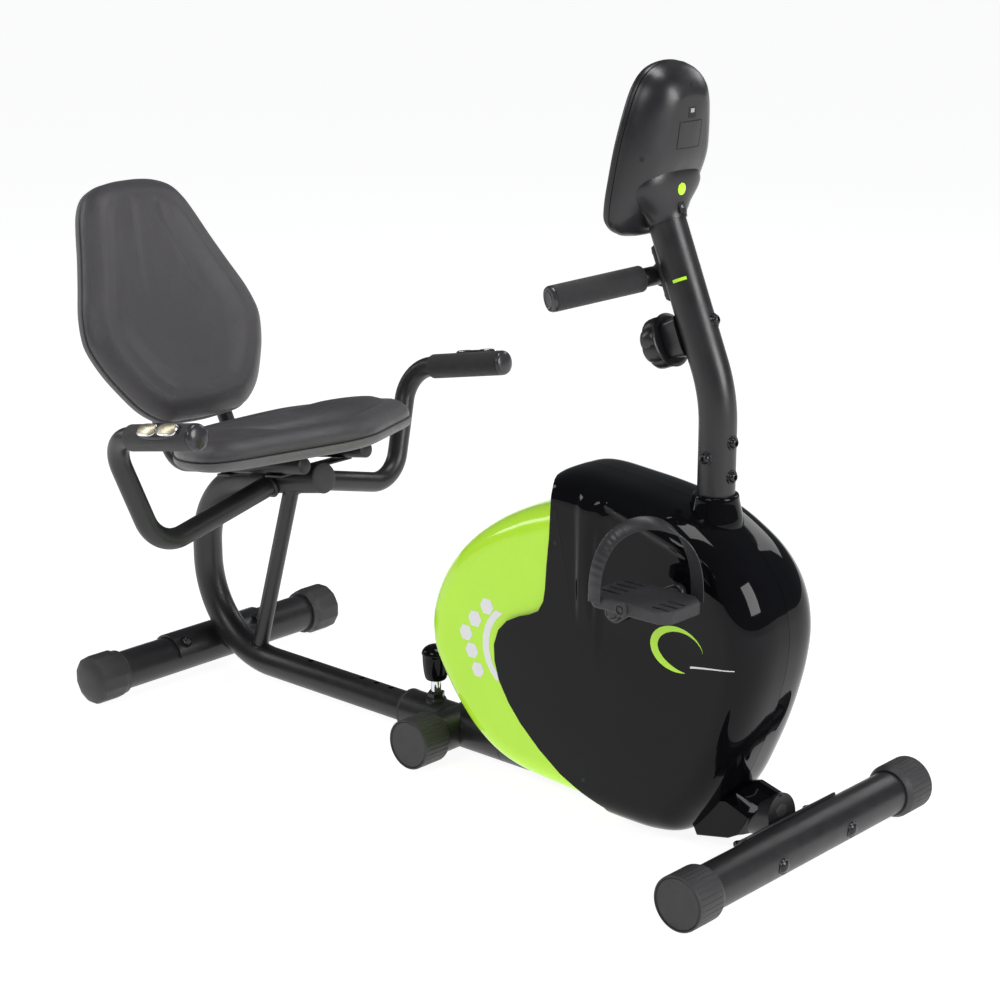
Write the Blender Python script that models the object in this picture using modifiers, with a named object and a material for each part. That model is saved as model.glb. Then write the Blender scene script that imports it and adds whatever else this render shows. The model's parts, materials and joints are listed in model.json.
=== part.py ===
"""Recumbent exercise bike, modelled in metres with +Z up, +X forward and the floor at Z = 0.

The front frame carries the casing, the console and the crank.  The rear frame carries the seat and
slides in the front frame's sleeve tube, locked by a pull pin.
"""

import math

import bmesh
import bpy
from mathutils import Matrix, Vector

# ---------------------------------------------------------------- driving dimensions
GAP = 0.0003                    # clearance between touching pieces
FRONT_X = 0.6536                # axis of the front stabiliser
AXIS_Z = 0.037                  # height of the stabiliser axes, equal to the end caps' radius

STABILISER_R = 0.030
STABILISER_WALL = 0.0022
FRONT_HALF_WIDTH = 0.260
REAR_HALF_WIDTH = 0.255
REAR_X = FRONT_X - 1.152        # axis of the rear stabiliser
CAP_R = 0.037
CAP_LENGTH = 0.055
CAP_FACE = 0.007
LEVELLING_SIDES = 12

SLEEVE_R = 0.030
SLEEVE_BORE_R = 0.0270
SLEEVE_MOUTH_X = FRONT_X - 0.703
SLEEVE_Z = 0.0365
MID_SUPPORT_X = FRONT_X - 0.606
MID_HALF_WIDTH = 0.109

SLIDE_TUBE_R = 0.023
SLIDE_FRONT_X = FRONT_X - 0.500
SLEEVE_BORE_END_X = FRONT_X - 0.330
PIN_X = FRONT_X - 0.653
PIN_HOLE_PITCH = 0.031

SEAT_TUBE_BACK_X = FRONT_X - 1.1555
SEAT_TUBE_LOW_RADIUS = 0.147
SEAT_TUBE_HIGH_RADIUS = 0.126
SEAT_TUBE_SLOPE = 0.19
SEAT_TUBE_END = (FRONT_X - 0.885, 0.360)

CRANK_X = FRONT_X - 0.239
CRANK_Z = 0.319
CRANK_LENGTH = 0.110
CRANK_ANGLE = math.radians(25.0)
CRANK_PLANE_Y = 0.091
PEDAL_IN_Y = 0.113
PEDAL_OUT_Y = 0.197
PULLEY_R = 0.092
FLYWHEEL_X = FRONT_X - 0.425
FLYWHEEL_Z = 0.212
FLYWHEEL_R = 0.112
SMALL_PULLEY_R = 0.0155
BELT_Y = 0.043

POST_X = FRONT_X - 0.1505
POST_R = 0.0248
POST_WALL = 0.002
POST_BOTTOM_Z = 0.4565
POST_CORNER_Z = 0.6055
POST_TILT = math.radians(22.6)
POST_BEND_RADIUS = 0.20
POST_UPPER_LENGTH = 0.243

CASE_HALF_WIDTH = 0.080
GREEN_HALF_WIDTH = 0.0745
CASE_WALL = 0.003

GRIP_BAR_R = 0.0125
GRIP_R = 0.0172
CONSOLE_TILT = math.radians(9.5)
CONSOLE_TOP = (FRONT_X - 0.2475, 1.0225)

HANDLE_R = 0.016
HAND_GRIP_R = 0.0195
RAIL_R = 0.0125
RAIL_Y = 0.064
BACK_LEAN = math.radians(27.3)
SEAT_TILT = math.radians(9.5)

PART_COLLECTION = "exercise_bike"
CUTTER_COLLECTION = "cutters"
Y_AXIS = Vector((0.0, 1.0, 0.0))


# ---------------------------------------------------------------- scene and materials
def clear_scene():
    """Remove every object, so the model starts from nothing."""
    for old in list(bpy.data.objects):
        bpy.data.objects.remove(old, do_unlink=True)


def new_collection(name):
    collection = bpy.data.collections.new(name)
    bpy.context.scene.collection.children.link(collection)
    return collection


clear_scene()
PARTS = new_collection(PART_COLLECTION)
CUTTERS = new_collection(CUTTER_COLLECTION)


def new_material(name, colour, roughness, metallic=0.0):
    material = bpy.data.materials.new(name)
    material.use_nodes = True
    shader = material.node_tree.nodes["Principled BSDF"]
    shader.inputs["Base Color"].default_value = (*colour, 1.0)
    shader.inputs["Roughness"].default_value = roughness
    shader.inputs["Metallic"].default_value = metallic
    return material


FINISHES = {
    "powder_black": ((0.018, 0.018, 0.020), 0.42, 0.2),
    "gloss_black": ((0.006, 0.006, 0.008), 0.06, 0.0),
    "gloss_green": ((0.47, 0.95, 0.055), 0.12, 0.0),
    "matte_black": ((0.022, 0.022, 0.024), 0.55, 0.0),
    "satin_black": ((0.014, 0.014, 0.016), 0.32, 0.0),
    "grip_foam": ((0.030, 0.030, 0.034), 0.80, 0.0),
    "pad_foam": ((0.078, 0.074, 0.080), 0.62, 0.0),
    "shell_grey": ((0.16, 0.16, 0.165), 0.50, 0.0),
    "pedal_grey": ((0.075, 0.073, 0.078), 0.60, 0.0),
    "zinc": ((0.62, 0.63, 0.65), 0.28, 1.0),
    "chrome": ((0.80, 0.81, 0.83), 0.08, 1.0),
    "sensor_metal": ((0.62, 0.58, 0.46), 0.25, 1.0),
    "cast_iron": ((0.10, 0.10, 0.11), 0.50, 0.9),
    "display_glass": ((0.02, 0.03, 0.025), 0.05, 0.0),
    "belt_rubber": ((0.012, 0.012, 0.012), 0.70, 0.0),
}


# ---------------------------------------------------------------- mesh helpers
def finish(obj, name, finish_name, smooth_angle=40.0):
    """Name an object, give it its own material and put it with the parts."""
    obj.name = name
    obj.data.name = name
    colour, roughness, metallic = FINISHES[finish_name]
    obj.data.materials.clear()
    obj.data.materials.append(new_material(f"{name}_{finish_name}", colour, roughness, metallic))
    obj.data.shade_smooth()
    obj.data.set_sharp_from_angle(angle=math.radians(smooth_angle))
    for collection in list(obj.users_collection):
        collection.objects.unlink(obj)
    PARTS.objects.link(obj)
    return obj


def object_from_bmesh(bm, name):
    bmesh.ops.recalc_face_normals(bm, faces=bm.faces)
    mesh = bpy.data.meshes.new(name)
    bm.to_mesh(mesh)
    bm.free()
    obj = bpy.data.objects.new(name, mesh)
    PARTS.objects.link(obj)
    return obj


def apply_modifiers(obj):
    """Turn an object's modifiers, or a curve, into a plain welded mesh."""
    bpy.context.view_layer.update()
    evaluated = obj.evaluated_get(bpy.context.evaluated_depsgraph_get())
    mesh = bpy.data.meshes.new_from_object(evaluated)
    bm = bmesh.new()
    bm.from_mesh(mesh)
    bmesh.ops.remove_doubles(bm, verts=bm.verts, dist=0.00002)
    bmesh.ops.recalc_face_normals(bm, faces=bm.faces)
    bm.to_mesh(mesh)
    bm.free()
    result = bpy.data.objects.new(obj.name, mesh)
    result.matrix_world = obj.matrix_world.copy()
    PARTS.objects.link(result)
    bpy.data.objects.remove(obj, do_unlink=True)
    return result


def set_origin(obj, point):
    """Move an object's origin to a point on its joint's axis."""
    offset = Vector(point)
    obj.data.transform(Matrix.Translation(-offset))
    obj.location = offset
    return obj


def box(low, high, bevel=0.0, segments=1):
    """A box between two corners, with bevelled edges."""
    bm = bmesh.new()
    bmesh.ops.create_cube(bm, size=1.0)
    size = Vector(high) - Vector(low)
    centre = (Vector(high) + Vector(low)) / 2.0
    bmesh.ops.scale(bm, vec=size, verts=bm.verts)
    bmesh.ops.translate(bm, vec=centre, verts=bm.verts)
    obj = object_from_bmesh(bm, "box")
    if bevel > 0.0:
        modifier = obj.modifiers.new("edges", "BEVEL")
        modifier.width = bevel
        modifier.segments = segments
        modifier.limit_method = "NONE"
        obj = apply_modifiers(obj)
    return obj


def axis_matrix(origin, direction):
    """A frame at origin whose local Z points along direction."""
    rotation = Vector((0.0, 0.0, 1.0)).rotation_difference(Vector(direction).normalized())
    return Matrix.Translation(Vector(origin)) @ rotation.to_matrix().to_4x4()


def cylinder(start, end, radius, sides=20, end_radius=None):
    """A closed cylinder or cone between two points."""
    start, end = Vector(start), Vector(end)
    length = (end - start).length
    bm = bmesh.new()
    tip_radius = radius if end_radius is None else end_radius
    bmesh.ops.create_cone(bm, cap_ends=True, segments=sides, radius1=radius, radius2=tip_radius,
                          depth=length)
    bmesh.ops.translate(bm, vec=(0.0, 0.0, length / 2.0), verts=bm.verts)
    bmesh.ops.transform(bm, matrix=axis_matrix(start, end - start), verts=bm.verts)
    return object_from_bmesh(bm, "cylinder")


def turned(profile, origin, direction, steps=22):
    """A turned shape: (radius, height) points, from the top of the outer side down, on an axis."""
    mesh = bpy.data.meshes.new("turned")
    points = [(radius, 0.0, height) for radius, height in profile]
    edges = [(i, i + 1) for i in range(len(points) - 1)]
    if profile[0][0] > 0.0 and profile[-1][0] > 0.0:
        edges.append((len(points) - 1, 0))
    mesh.from_pydata(points, edges, [])
    obj = bpy.data.objects.new("turned", mesh)
    PARTS.objects.link(obj)
    screw = obj.modifiers.new("turn", "SCREW")
    screw.steps = steps
    screw.render_steps = steps
    screw.use_merge_vertices = True
    screw.merge_threshold = 0.00001
    obj = apply_modifiers(obj)
    obj.data.transform(axis_matrix(origin, direction))
    return obj


def arc_points(centre, radius, start_angle, end_angle, count):
    """Points on an arc in the plane, both ends included."""
    angles = [start_angle + (end_angle - start_angle) * i / (count - 1) for i in range(count)]
    return [(centre[0] + radius * math.cos(a), centre[1] + radius * math.sin(a)) for a in angles]


def rounded_path(corners, radii, steps=7):
    """A path through corners (3-D), each inner corner rounded with its bend radius."""
    points = [Vector(c) for c in corners]
    path = [points[0]]
    for i in range(1, len(points) - 1):
        incoming = (points[i] - points[i - 1]).normalized()
        outgoing = (points[i + 1] - points[i]).normalized()
        turn = incoming.angle(outgoing)
        radius = radii[i - 1]
        reach = radius * math.tan(turn / 2.0)
        inward = (outgoing - incoming).normalized()
        centre = points[i] + inward * (radius / math.cos(turn / 2.0))
        first = points[i] - incoming * reach
        axis = incoming.cross(outgoing).normalized()
        for k in range(steps + 1):
            spin = Matrix.Rotation(turn * k / steps, 3, axis)
            path.append(centre + spin @ (first - centre))
    path.append(points[-1])
    return path


def tube(path, radius, resolution=4):
    """A round bar along a path, as a closed mesh."""
    curve = bpy.data.curves.new("tube", "CURVE")
    curve.dimensions = "3D"
    curve.bevel_depth = radius
    curve.bevel_resolution = resolution
    curve.use_fill_caps = True
    spline = curve.splines.new("POLY")
    spline.points.add(len(path) - 1)
    for point, place in zip(spline.points, path):
        point.co = (*place, 1.0)
    obj = bpy.data.objects.new("tube", curve)
    PARTS.objects.link(obj)
    return apply_modifiers(obj)


def plate(outline, thickness, matrix=None, bevel=0.0):
    """A flat outline with a thickness: drawn in local XY, centred on local Z = 0."""
    curve = bpy.data.curves.new("plate", "CURVE")
    curve.dimensions = "2D"
    curve.fill_mode = "BOTH"
    curve.extrude = thickness / 2.0
    spline = curve.splines.new("POLY")
    spline.points.add(len(outline) - 1)
    for point, (x, y) in zip(spline.points, outline):
        point.co = (x, y, 0.0, 1.0)
    spline.use_cyclic_u = True
    obj = bpy.data.objects.new("plate", curve)
    PARTS.objects.link(obj)
    obj = apply_modifiers(obj)
    if bevel > 0.0:
        modifier = obj.modifiers.new("edges", "BEVEL")
        modifier.width = bevel
        modifier.segments = 1
        modifier.limit_method = "ANGLE"
        modifier.angle_limit = math.radians(50.0)
        obj = apply_modifiers(obj)
    if matrix is not None:
        obj.data.transform(matrix)
    return obj


def side_frame(y=0.0):
    """A frame whose local XY is the world's XZ plane at a given Y, and local Z is world -Y."""
    return Matrix.Translation((0.0, y, 0.0)) @ Matrix.Rotation(math.radians(90.0), 4, "X")


def make_cutter(obj):
    obj.hide_render = True
    obj.display_type = "WIRE"
    for collection in list(obj.users_collection):
        collection.objects.unlink(obj)
    CUTTERS.objects.link(obj)
    return obj


def combine(obj, others, operation):
    """Union or difference of an object with others, which become cutters."""
    for other in others:
        make_cutter(other)
        modifier = obj.modifiers.new(operation.lower(), "BOOLEAN")
        modifier.operation = operation
        modifier.solver = "EXACT"
        modifier.object = other
        obj = apply_modifiers(obj)
    return obj


def union(first, *others):
    return combine(first, others, "UNION")


def cut(first, *others):
    return combine(first, others, "DIFFERENCE")


def mirrored(obj):
    """A copy of a piece on the other side of the bike's middle plane."""
    copy = obj.copy()
    copy.data = obj.data.copy()
    PARTS.objects.link(copy)
    bm = bmesh.new()
    bm.from_mesh(copy.data)
    bmesh.ops.scale(bm, vec=(1.0, -1.0, 1.0), verts=bm.verts)
    bmesh.ops.reverse_faces(bm, faces=bm.faces)
    bm.to_mesh(copy.data)
    bm.free()
    return copy


def loft_rings(rings, close_start=True, close_end=True):
    """Skin a stack of equal rings of 3-D points, with flat ends where they are closed."""
    bm = bmesh.new()
    rows = [[bm.verts.new(p) for p in ring] for ring in rings]
    count = len(rings[0])
    for lower, upper in zip(rows, rows[1:]):
        for i in range(count):
            j = (i + 1) % count
            bm.faces.new((lower[i], lower[j], upper[j], upper[i]))
    if close_start:
        bm.faces.new(list(reversed(rows[0])))
    if close_end:
        bm.faces.new(rows[-1])
    return object_from_bmesh(bm, "loft")


def inset_outline(outline, distance):
    """Move a closed plane outline inwards by a distance, along its smoothed normals."""
    count = len(outline)
    area = sum(outline[i][0] * outline[(i + 1) % count][1] - outline[(i + 1) % count][0] * outline[i][1]
               for i in range(count))
    side = 1.0 if area > 0.0 else -1.0
    moved = []
    for i in range(count):
        before = Vector(outline[i - 1])
        after = Vector(outline[(i + 1) % count])
        along = (after - before).normalized()
        moved.append((outline[i][0] - side * along.y * distance, outline[i][1] + side * along.x * distance))
    return moved


def smooth_outline(points, count):
    """An even ring of points on a smooth closed curve through a few given points."""
    dense = []
    total = len(points)
    for i in range(total):
        p0, p1, p2, p3 = (Vector(points[(i + k) % total]) for k in (-1, 0, 1, 2))
        for s in range(12):
            t = s / 12.0
            place = 0.5 * ((2 * p1) + (p2 - p0) * t + (2 * p0 - 5 * p1 + 4 * p2 - p3) * t * t
                           + (3 * p1 - p0 - 3 * p2 + p3) * t * t * t)
            dense.append(place)
    lengths = [0.0]
    for a, b in zip(dense, dense[1:] + dense[:1]):
        lengths.append(lengths[-1] + (b - a).length)
    ring = []
    place = 0
    for i in range(count):
        target = lengths[-1] * i / count
        while lengths[place + 1] < target:
            place += 1
        span = lengths[place + 1] - lengths[place]
        share = (target - lengths[place]) / span
        here = dense[place].lerp(dense[(place + 1) % len(dense)], share)
        ring.append((here.x, here.y))
    return ring


def rounded_polygon(corners, radii, steps=5):
    """A closed plane outline with each corner rounded."""
    points = [Vector(c) for c in corners]
    outline = []
    for i, corner in enumerate(points):
        incoming = (corner - points[i - 1]).normalized()
        outgoing = (points[(i + 1) % len(points)] - corner).normalized()
        turn = incoming.angle(outgoing)
        reach = radii[i] * math.tan(turn / 2.0)
        start = corner - incoming * reach
        finish_point = corner + outgoing * reach
        inward = (outgoing - incoming).normalized()
        centre = corner + inward * (radii[i] / math.cos(turn / 2.0))
        for k in range(steps + 1):
            share = k / steps
            spoke = (start - centre).lerp(finish_point - centre, share)
            place = centre + spoke.normalized() * radii[i]
            outline.append((place.x, place.y))
    return outline


# ---------------------------------------------------------------- stabilisers, caps and bolts
def end_cap(sign, x, half_width):
    """A cup-shaped cap over a stabiliser's end, its closed face outwards."""
    bore = STABILISER_R + GAP
    profile = [
        (0.0, CAP_LENGTH),
        (CAP_R - 0.004, CAP_LENGTH),
        (CAP_R, CAP_LENGTH - 0.003),
        (CAP_R, 0.004),
        (CAP_R - 0.003, 0.0),
        (bore, 0.0),
        (bore, CAP_LENGTH - CAP_FACE),
        (0.0, CAP_LENGTH - CAP_FACE),
    ]
    start = (x, sign * (half_width - CAP_LENGTH), AXIS_Z)
    return turned(profile, start, (0.0, sign, 0.0), 24)


def levelling_cap(sign):
    """The rear cap: a twelve-sided cup on an off-centre collar, turned to level the bike."""
    half_facet = math.pi / LEVELLING_SIDES
    radius = CAP_R / math.cos(half_facet)
    profile = [
        (0.0, CAP_LENGTH),
        (radius - 0.004, CAP_LENGTH),
        (radius, CAP_LENGTH - 0.003),
        (radius, 0.004),
        (radius - 0.002, 0.0),
        (0.0, 0.0),
    ]
    start = Vector((REAR_X, sign * (REAR_HALF_WIDTH - CAP_LENGTH), AXIS_Z))
    cap = turned(profile, start, (0.0, sign, 0.0), LEVELLING_SIDES)
    place = Matrix.Translation((REAR_X, 0.0, AXIS_Z))
    cap.data.transform(place @ Matrix.Rotation(half_facet, 4, "Y") @ place.inverted())
    way = Vector((0.0, sign, 0.0))
    collar = cylinder(start - way * 0.006, start + way * 0.004, STABILISER_R + 0.0045, 24)
    bore = cylinder(start - way * 0.02, start + way * (CAP_LENGTH - CAP_FACE), STABILISER_R + GAP, 24)
    return cut(union(cap, collar), bore)


def stabiliser_tube(x, half_width):
    """A round steel tube across the bike, open inside."""
    reach = half_width - CAP_FACE - GAP
    inner = STABILISER_R - STABILISER_WALL
    profile = [(STABILISER_R, reach), (STABILISER_R, -reach), (inner, -reach), (inner, reach)]
    return turned(profile, (x, 0.0, AXIS_Z), (0.0, 1.0, 0.0), 24)


BOLT_Y = 0.0768
BOLT_R = 0.004
BOLT_HEAD_R = 0.0085
CRADLE_WALL = 0.004
CRADLE_HALF_LENGTH = 0.102


def bolt_direction(angle):
    """The way a stabiliser bolt's head faces, as an angle above +X in the XZ plane."""
    return Vector((math.cos(angle), 0.0, math.sin(angle)))


def bolt_hole(x, y, angle):
    """A cutter for one stabiliser bolt, through tube and cradle."""
    middle = Vector((x, y, AXIS_Z))
    reach = bolt_direction(angle) * 0.05
    return cylinder(middle - reach, middle + reach, BOLT_R + GAP, 16)


def stabiliser_bolt(x, y, angle, head_distance, nut_distance):
    """A carriage bolt through the stabiliser with its domed head outside and its nut on the far side."""
    middle = Vector((x, y, AXIS_Z))
    way = bolt_direction(angle)
    head = [
        (0.0, 0.0042),
        (0.0040, 0.0037),
        (0.0070, 0.0020),
        (BOLT_HEAD_R, 0.0),
        (0.0, 0.0),
    ]
    cap = turned(head, middle + way * head_distance, way, 20)
    shank_end = middle - way * (nut_distance + 0.009)
    shank = cylinder(middle + way * (head_distance + 0.001), shank_end, BOLT_R, 16)
    nut = cylinder(middle - way * nut_distance, middle - way * (nut_distance + 0.0065), 0.0072, 6)
    return union(shank, cap, nut)


FRONT_BOLT_ANGLE = math.radians(-9.0)
REAR_BOLT_ANGLE = math.radians(45.0)


def cradle(x, start_angle, end_angle):
    """The curved plate that holds a stabiliser tube, between two angles above +X."""
    inner = STABILISER_R + GAP
    outer = inner + CRADLE_WALL
    outline = arc_points((x, AXIS_Z), outer, start_angle, end_angle, 13)
    outline += arc_points((x, AXIS_Z), inner, end_angle, start_angle, 13)
    return plate(outline, 2.0 * CRADLE_HALF_LENGTH, side_frame())


def build_stabilisers():
    front = stabiliser_tube(FRONT_X, FRONT_HALF_WIDTH)
    front = cut(front, *(bolt_hole(FRONT_X, s * BOLT_Y, FRONT_BOLT_ANGLE) for s in (-1, 1)))
    finish(front, "front_stabilizer", "powder_black")
    rear = stabiliser_tube(REAR_X, REAR_HALF_WIDTH)
    rear = cut(rear, *(bolt_hole(REAR_X, s * BOLT_Y, REAR_BOLT_ANGLE) for s in (-1, 1)))
    finish(rear, "rear_stabilizer", "powder_black")
    for side, sign in (("right", -1.0), ("left", 1.0)):
        wheel = finish(end_cap(sign, FRONT_X, FRONT_HALF_WIDTH), f"front_roller_{side}", "matte_black")
        set_origin(wheel, (FRONT_X, sign * FRONT_HALF_WIDTH, AXIS_Z))
        finish(end_cap(sign, MID_SUPPORT_X, MID_HALF_WIDTH), f"mid_cap_{side}", "matte_black")
        foot = finish(levelling_cap(sign), f"rear_cap_{side}", "matte_black", 20.0)
        set_origin(foot, (REAR_X, sign * REAR_HALF_WIDTH, AXIS_Z))
        y = sign * BOLT_Y
        outer = STABILISER_R + GAP
        bolt = stabiliser_bolt(FRONT_X, y, FRONT_BOLT_ANGLE, outer, outer + CRADLE_WALL + GAP)
        finish(bolt, f"front_bolt_{side}", "matte_black")
        bolt = stabiliser_bolt(REAR_X, y, REAR_BOLT_ANGLE, outer + CRADLE_WALL + GAP, outer)
        finish(bolt, f"rear_bolt_{side}", "matte_black")


# ---------------------------------------------------------------- front frame
NECK_RISE_X = FRONT_X - 0.215
NECK_END = (FRONT_X - 0.0300, 0.0615)
NECK_BEND_RADIUS = 0.30
STEM_R = POST_R - POST_WALL - GAP
STEM_TOP_Z = 0.565
CRANK_SHELL_R = 0.021
CRANK_SHELL_HALF = 0.030
AXLE_R = 0.0085
FLYWHEEL_AXLE_R = 0.005
FORK_Y = (-0.050, 0.060)
FORK_WALL = 0.004
BOSS_R = 0.0115
BOSS_TOP_Z = 0.084
PIN_BORE_R = 0.0045
ARM_REACH = 0.134               # distance of the brake arm's pivot from the flywheel's axle
ARM_PIVOT_ANGLE = math.radians(240.0)
ARM_PIVOT_X = FLYWHEEL_X + ARM_REACH * math.cos(ARM_PIVOT_ANGLE)
ARM_PIVOT_Z = FLYWHEEL_Z + ARM_REACH * math.sin(ARM_PIVOT_ANGLE)
ARM_PIVOT = (ARM_PIVOT_X, ARM_PIVOT_Z)
ARM_EAR_Y = 0.020
ARM_PIN_R = 0.0035


def build_main_frame():
    """The welded front frame, in one piece with its bores."""
    path = rounded_path([
        (SLEEVE_MOUTH_X, 0.0, SLEEVE_Z),
        (NECK_RISE_X, 0.0, SLEEVE_Z),
        (NECK_END[0], 0.0, NECK_END[1]),
    ], [NECK_BEND_RADIUS], 4)
    frame = tube(path, SLEEVE_R, 5)
    neck_notch = cylinder((FRONT_X, -0.05, AXIS_Z), (FRONT_X, 0.05, AXIS_Z), STABILISER_R + GAP + 0.001, 24)
    frame = cut(frame, neck_notch)
    stub_reach = MID_HALF_WIDTH - CAP_FACE - GAP
    stub_middle = Vector((MID_SUPPORT_X, 0.0, AXIS_Z))
    stub = cylinder(stub_middle - Y_AXIS * stub_reach, stub_middle + Y_AXIS * stub_reach, STABILISER_R, 24)
    stem = cylinder((POST_X, 0.0, 0.045), (POST_X, 0.0, STEM_TOP_Z), STEM_R, 24)
    leg = cylinder((CRANK_X, 0.0, 0.040), (CRANK_X, 0.0, CRANK_Z), 0.016, 16)
    shell = cylinder((CRANK_X, -CRANK_SHELL_HALF, CRANK_Z), (CRANK_X, CRANK_SHELL_HALF, CRANK_Z),
                     CRANK_SHELL_R, 24)
    brace = cylinder((CRANK_X, 0.0, CRANK_Z - 0.03), (POST_X, 0.0, CRANK_Z + 0.02), 0.010, 12)
    boss = cylinder((PIN_X, 0.0, SLEEVE_Z), (PIN_X, 0.0, BOSS_TOP_Z), BOSS_R, 20)
    holder = cradle(FRONT_X, math.radians(100.0), math.radians(212.0))
    fork_low = SLEEVE_Z + SLEEVE_R - 0.004
    web = box((FLYWHEEL_X - 0.022, FORK_Y[0], fork_low), (FLYWHEEL_X + 0.022, FORK_Y[1], fork_low + 0.006))
    pivot = Vector((ARM_PIVOT[0], 0.0, ARM_PIVOT[1]))
    arm_pin = cylinder(pivot - Y_AXIS * ARM_EAR_Y, pivot + Y_AXIS * ARM_EAR_Y, ARM_PIN_R, 16)
    pieces = [stub, stem, leg, shell, brace, boss, holder, web]
    for y in (-ARM_EAR_Y, ARM_EAR_Y):
        low = (pivot.x - 0.007, y - 0.002, fork_low - 0.003)
        pieces.append(box(low, (pivot.x + 0.007, y + 0.002, pivot.z + 0.007)))
    pieces.append(arm_pin)
    for y in FORK_Y:
        low = (FLYWHEEL_X - 0.018, y - FORK_WALL / 2.0, fork_low)
        high = (FLYWHEEL_X + 0.018, y + FORK_WALL / 2.0, FLYWHEEL_Z + 0.016)
        pieces.append(box(low, high))
    frame = union(frame, *pieces)
    cutters = [
        cylinder((SLEEVE_MOUTH_X - 0.01, 0.0, SLEEVE_Z), (SLEEVE_BORE_END_X, 0.0, SLEEVE_Z),
                 SLEEVE_BORE_R, 24),
        cylinder((PIN_X, 0.0, SLEEVE_Z + 0.01), (PIN_X, 0.0, BOSS_TOP_Z + 0.01), PIN_BORE_R, 16),
        cylinder((CRANK_X, -0.05, CRANK_Z), (CRANK_X, 0.05, CRANK_Z), AXLE_R + GAP, 24),
        cylinder((FLYWHEEL_X, -0.1, FLYWHEEL_Z), (FLYWHEEL_X, 0.1, FLYWHEEL_Z), FLYWHEEL_AXLE_R + GAP, 16),
    ]
    cutters += [bolt_hole(FRONT_X, s * BOLT_Y, FRONT_BOLT_ANGLE) for s in (-1, 1)]
    frame = cut(frame, *cutters)
    finish(frame, "main_frame", "powder_black")


def build_sleeve_liner():
    """The plastic liner in the sleeve's mouth, with a flange outside."""
    bore = SLIDE_TUBE_R + GAP
    outer = SLEEVE_BORE_R - GAP
    profile = [
        (SLEEVE_R, -GAP),
        (SLEEVE_R + 0.0005, -0.0040),
        (bore, -0.0040),
        (bore, 0.040),
        (outer, 0.040),
        (outer, -GAP),
    ]
    profile = [(radius, -height) for radius, height in profile]
    liner = turned(profile, (SLEEVE_MOUTH_X, 0.0, SLEEVE_Z), (-1.0, 0.0, 0.0), 24)
    finish(liner, "sleeve_liner", "matte_black")


# ---------------------------------------------------------------- rear frame
def seat_tube_path():
    """The centre line of the sliding tube and the C-shaped seat tube, front to top."""
    end_x, end_z = SEAT_TUBE_END
    corner_z = end_z - (end_x - SEAT_TUBE_BACK_X) * SEAT_TUBE_SLOPE
    corners = [
        (SLIDE_FRONT_X, 0.0, SLEEVE_Z),
        (SEAT_TUBE_BACK_X, 0.0, SLEEVE_Z),
        (SEAT_TUBE_BACK_X, 0.0, corner_z),
        (end_x, 0.0, end_z),
    ]
    return rounded_path(corners, [SEAT_TUBE_LOW_RADIUS, SEAT_TUBE_HIGH_RADIUS], 8)


def seat_tube_height(x):
    """Height of the seat tube's upper run at a given X."""
    return SEAT_TUBE_END[1] - (SEAT_TUBE_END[0] - x) * SEAT_TUBE_SLOPE


HANDLE_X = FRONT_X - 0.980
STRUT_R = 0.0122
RAIL_FRONT_X = FRONT_X - 0.856
RAIL_FRONT_Z = 0.397
BRIDGE_THICKNESS = 0.004


def build_seat_frame():
    """The welded rear frame with its adjustment holes."""
    frame = tube(seat_tube_path(), SLIDE_TUBE_R, 4)
    strut_top_x = FRONT_X - 0.951
    strut = cylinder((FRONT_X - 1.040, 0.0, SLEEVE_Z + 0.004),
                     (strut_top_x, 0.0, seat_tube_height(strut_top_x)), STRUT_R, 20)
    holder = cradle(REAR_X, math.radians(8.0), math.radians(128.0))
    gusset_outline = [
        (REAR_X + 0.012, AXIS_Z + 0.031),
        (REAR_X + 0.034, AXIS_Z + 0.006),
        (REAR_X + 0.074, AXIS_Z - 0.004),
        (REAR_X + 0.070, AXIS_Z + 0.040),
        (REAR_X + 0.030, AXIS_Z + 0.060),
    ]
    gusset = plate(gusset_outline, 0.024, side_frame())
    bridges = [rail_bridge(FRONT_X - 0.918, 0.018), rail_bridge(FRONT_X - 1.030, 0.015)]
    frame = union(frame, strut, gusset, holder, *bridges)
    clearance = STABILISER_R + GAP
    cutters = [bolt_hole(REAR_X, s * BOLT_Y, REAR_BOLT_ANGLE) for s in (-1, 1)]
    cutters.append(cylinder((REAR_X, -0.15, AXIS_Z), (REAR_X, 0.15, AXIS_Z), clearance, 24))
    top = SLEEVE_Z + SLIDE_TUBE_R
    for i in range(-2, 6):
        x = PIN_X - i * PIN_HOLE_PITCH
        cutters.append(cylinder((x, 0.0, top - 0.010), (x, 0.0, top + 0.004), PIN_BORE_R, 12))
    x = FRONT_X - 0.921
    cutters.append(cylinder((x, 0.0, top - 0.010), (x, 0.0, top + 0.004), PIN_BORE_R, 12))
    frame = cut(frame, *cutters)
    finish(frame, "seat_frame", "powder_black")


def rail_bridge(x, half_length):
    """A flat plate across the seat tube, just under the two seat rails."""
    rail_z = RAIL_FRONT_Z - (RAIL_FRONT_X - x) * math.tan(SEAT_TILT)
    top = -RAIL_R - GAP
    half_width = RAIL_Y + 0.010
    plate_box = box((-half_length, -half_width, top - BRIDGE_THICKNESS), (half_length, half_width, top))
    spin = Matrix.Rotation(-SEAT_TILT, 4, "Y")
    plate_box.data.transform(Matrix.Translation((x, 0.0, rail_z)) @ spin)
    return plate_box


def build_seat_tube_plug():
    """The domed plug in the open end of the seat tube."""
    end = Vector((SEAT_TUBE_END[0], 0.0, SEAT_TUBE_END[1]))
    way = Vector((1.0, 0.0, SEAT_TUBE_SLOPE)).normalized()
    profile = [(0.0, 0.0065), (0.012, 0.0058), (0.0205, 0.0035), (0.0236, GAP), (0.0, GAP)]
    finish(turned(profile, end, way, 22), "seat_tube_plug", "matte_black")


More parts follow.
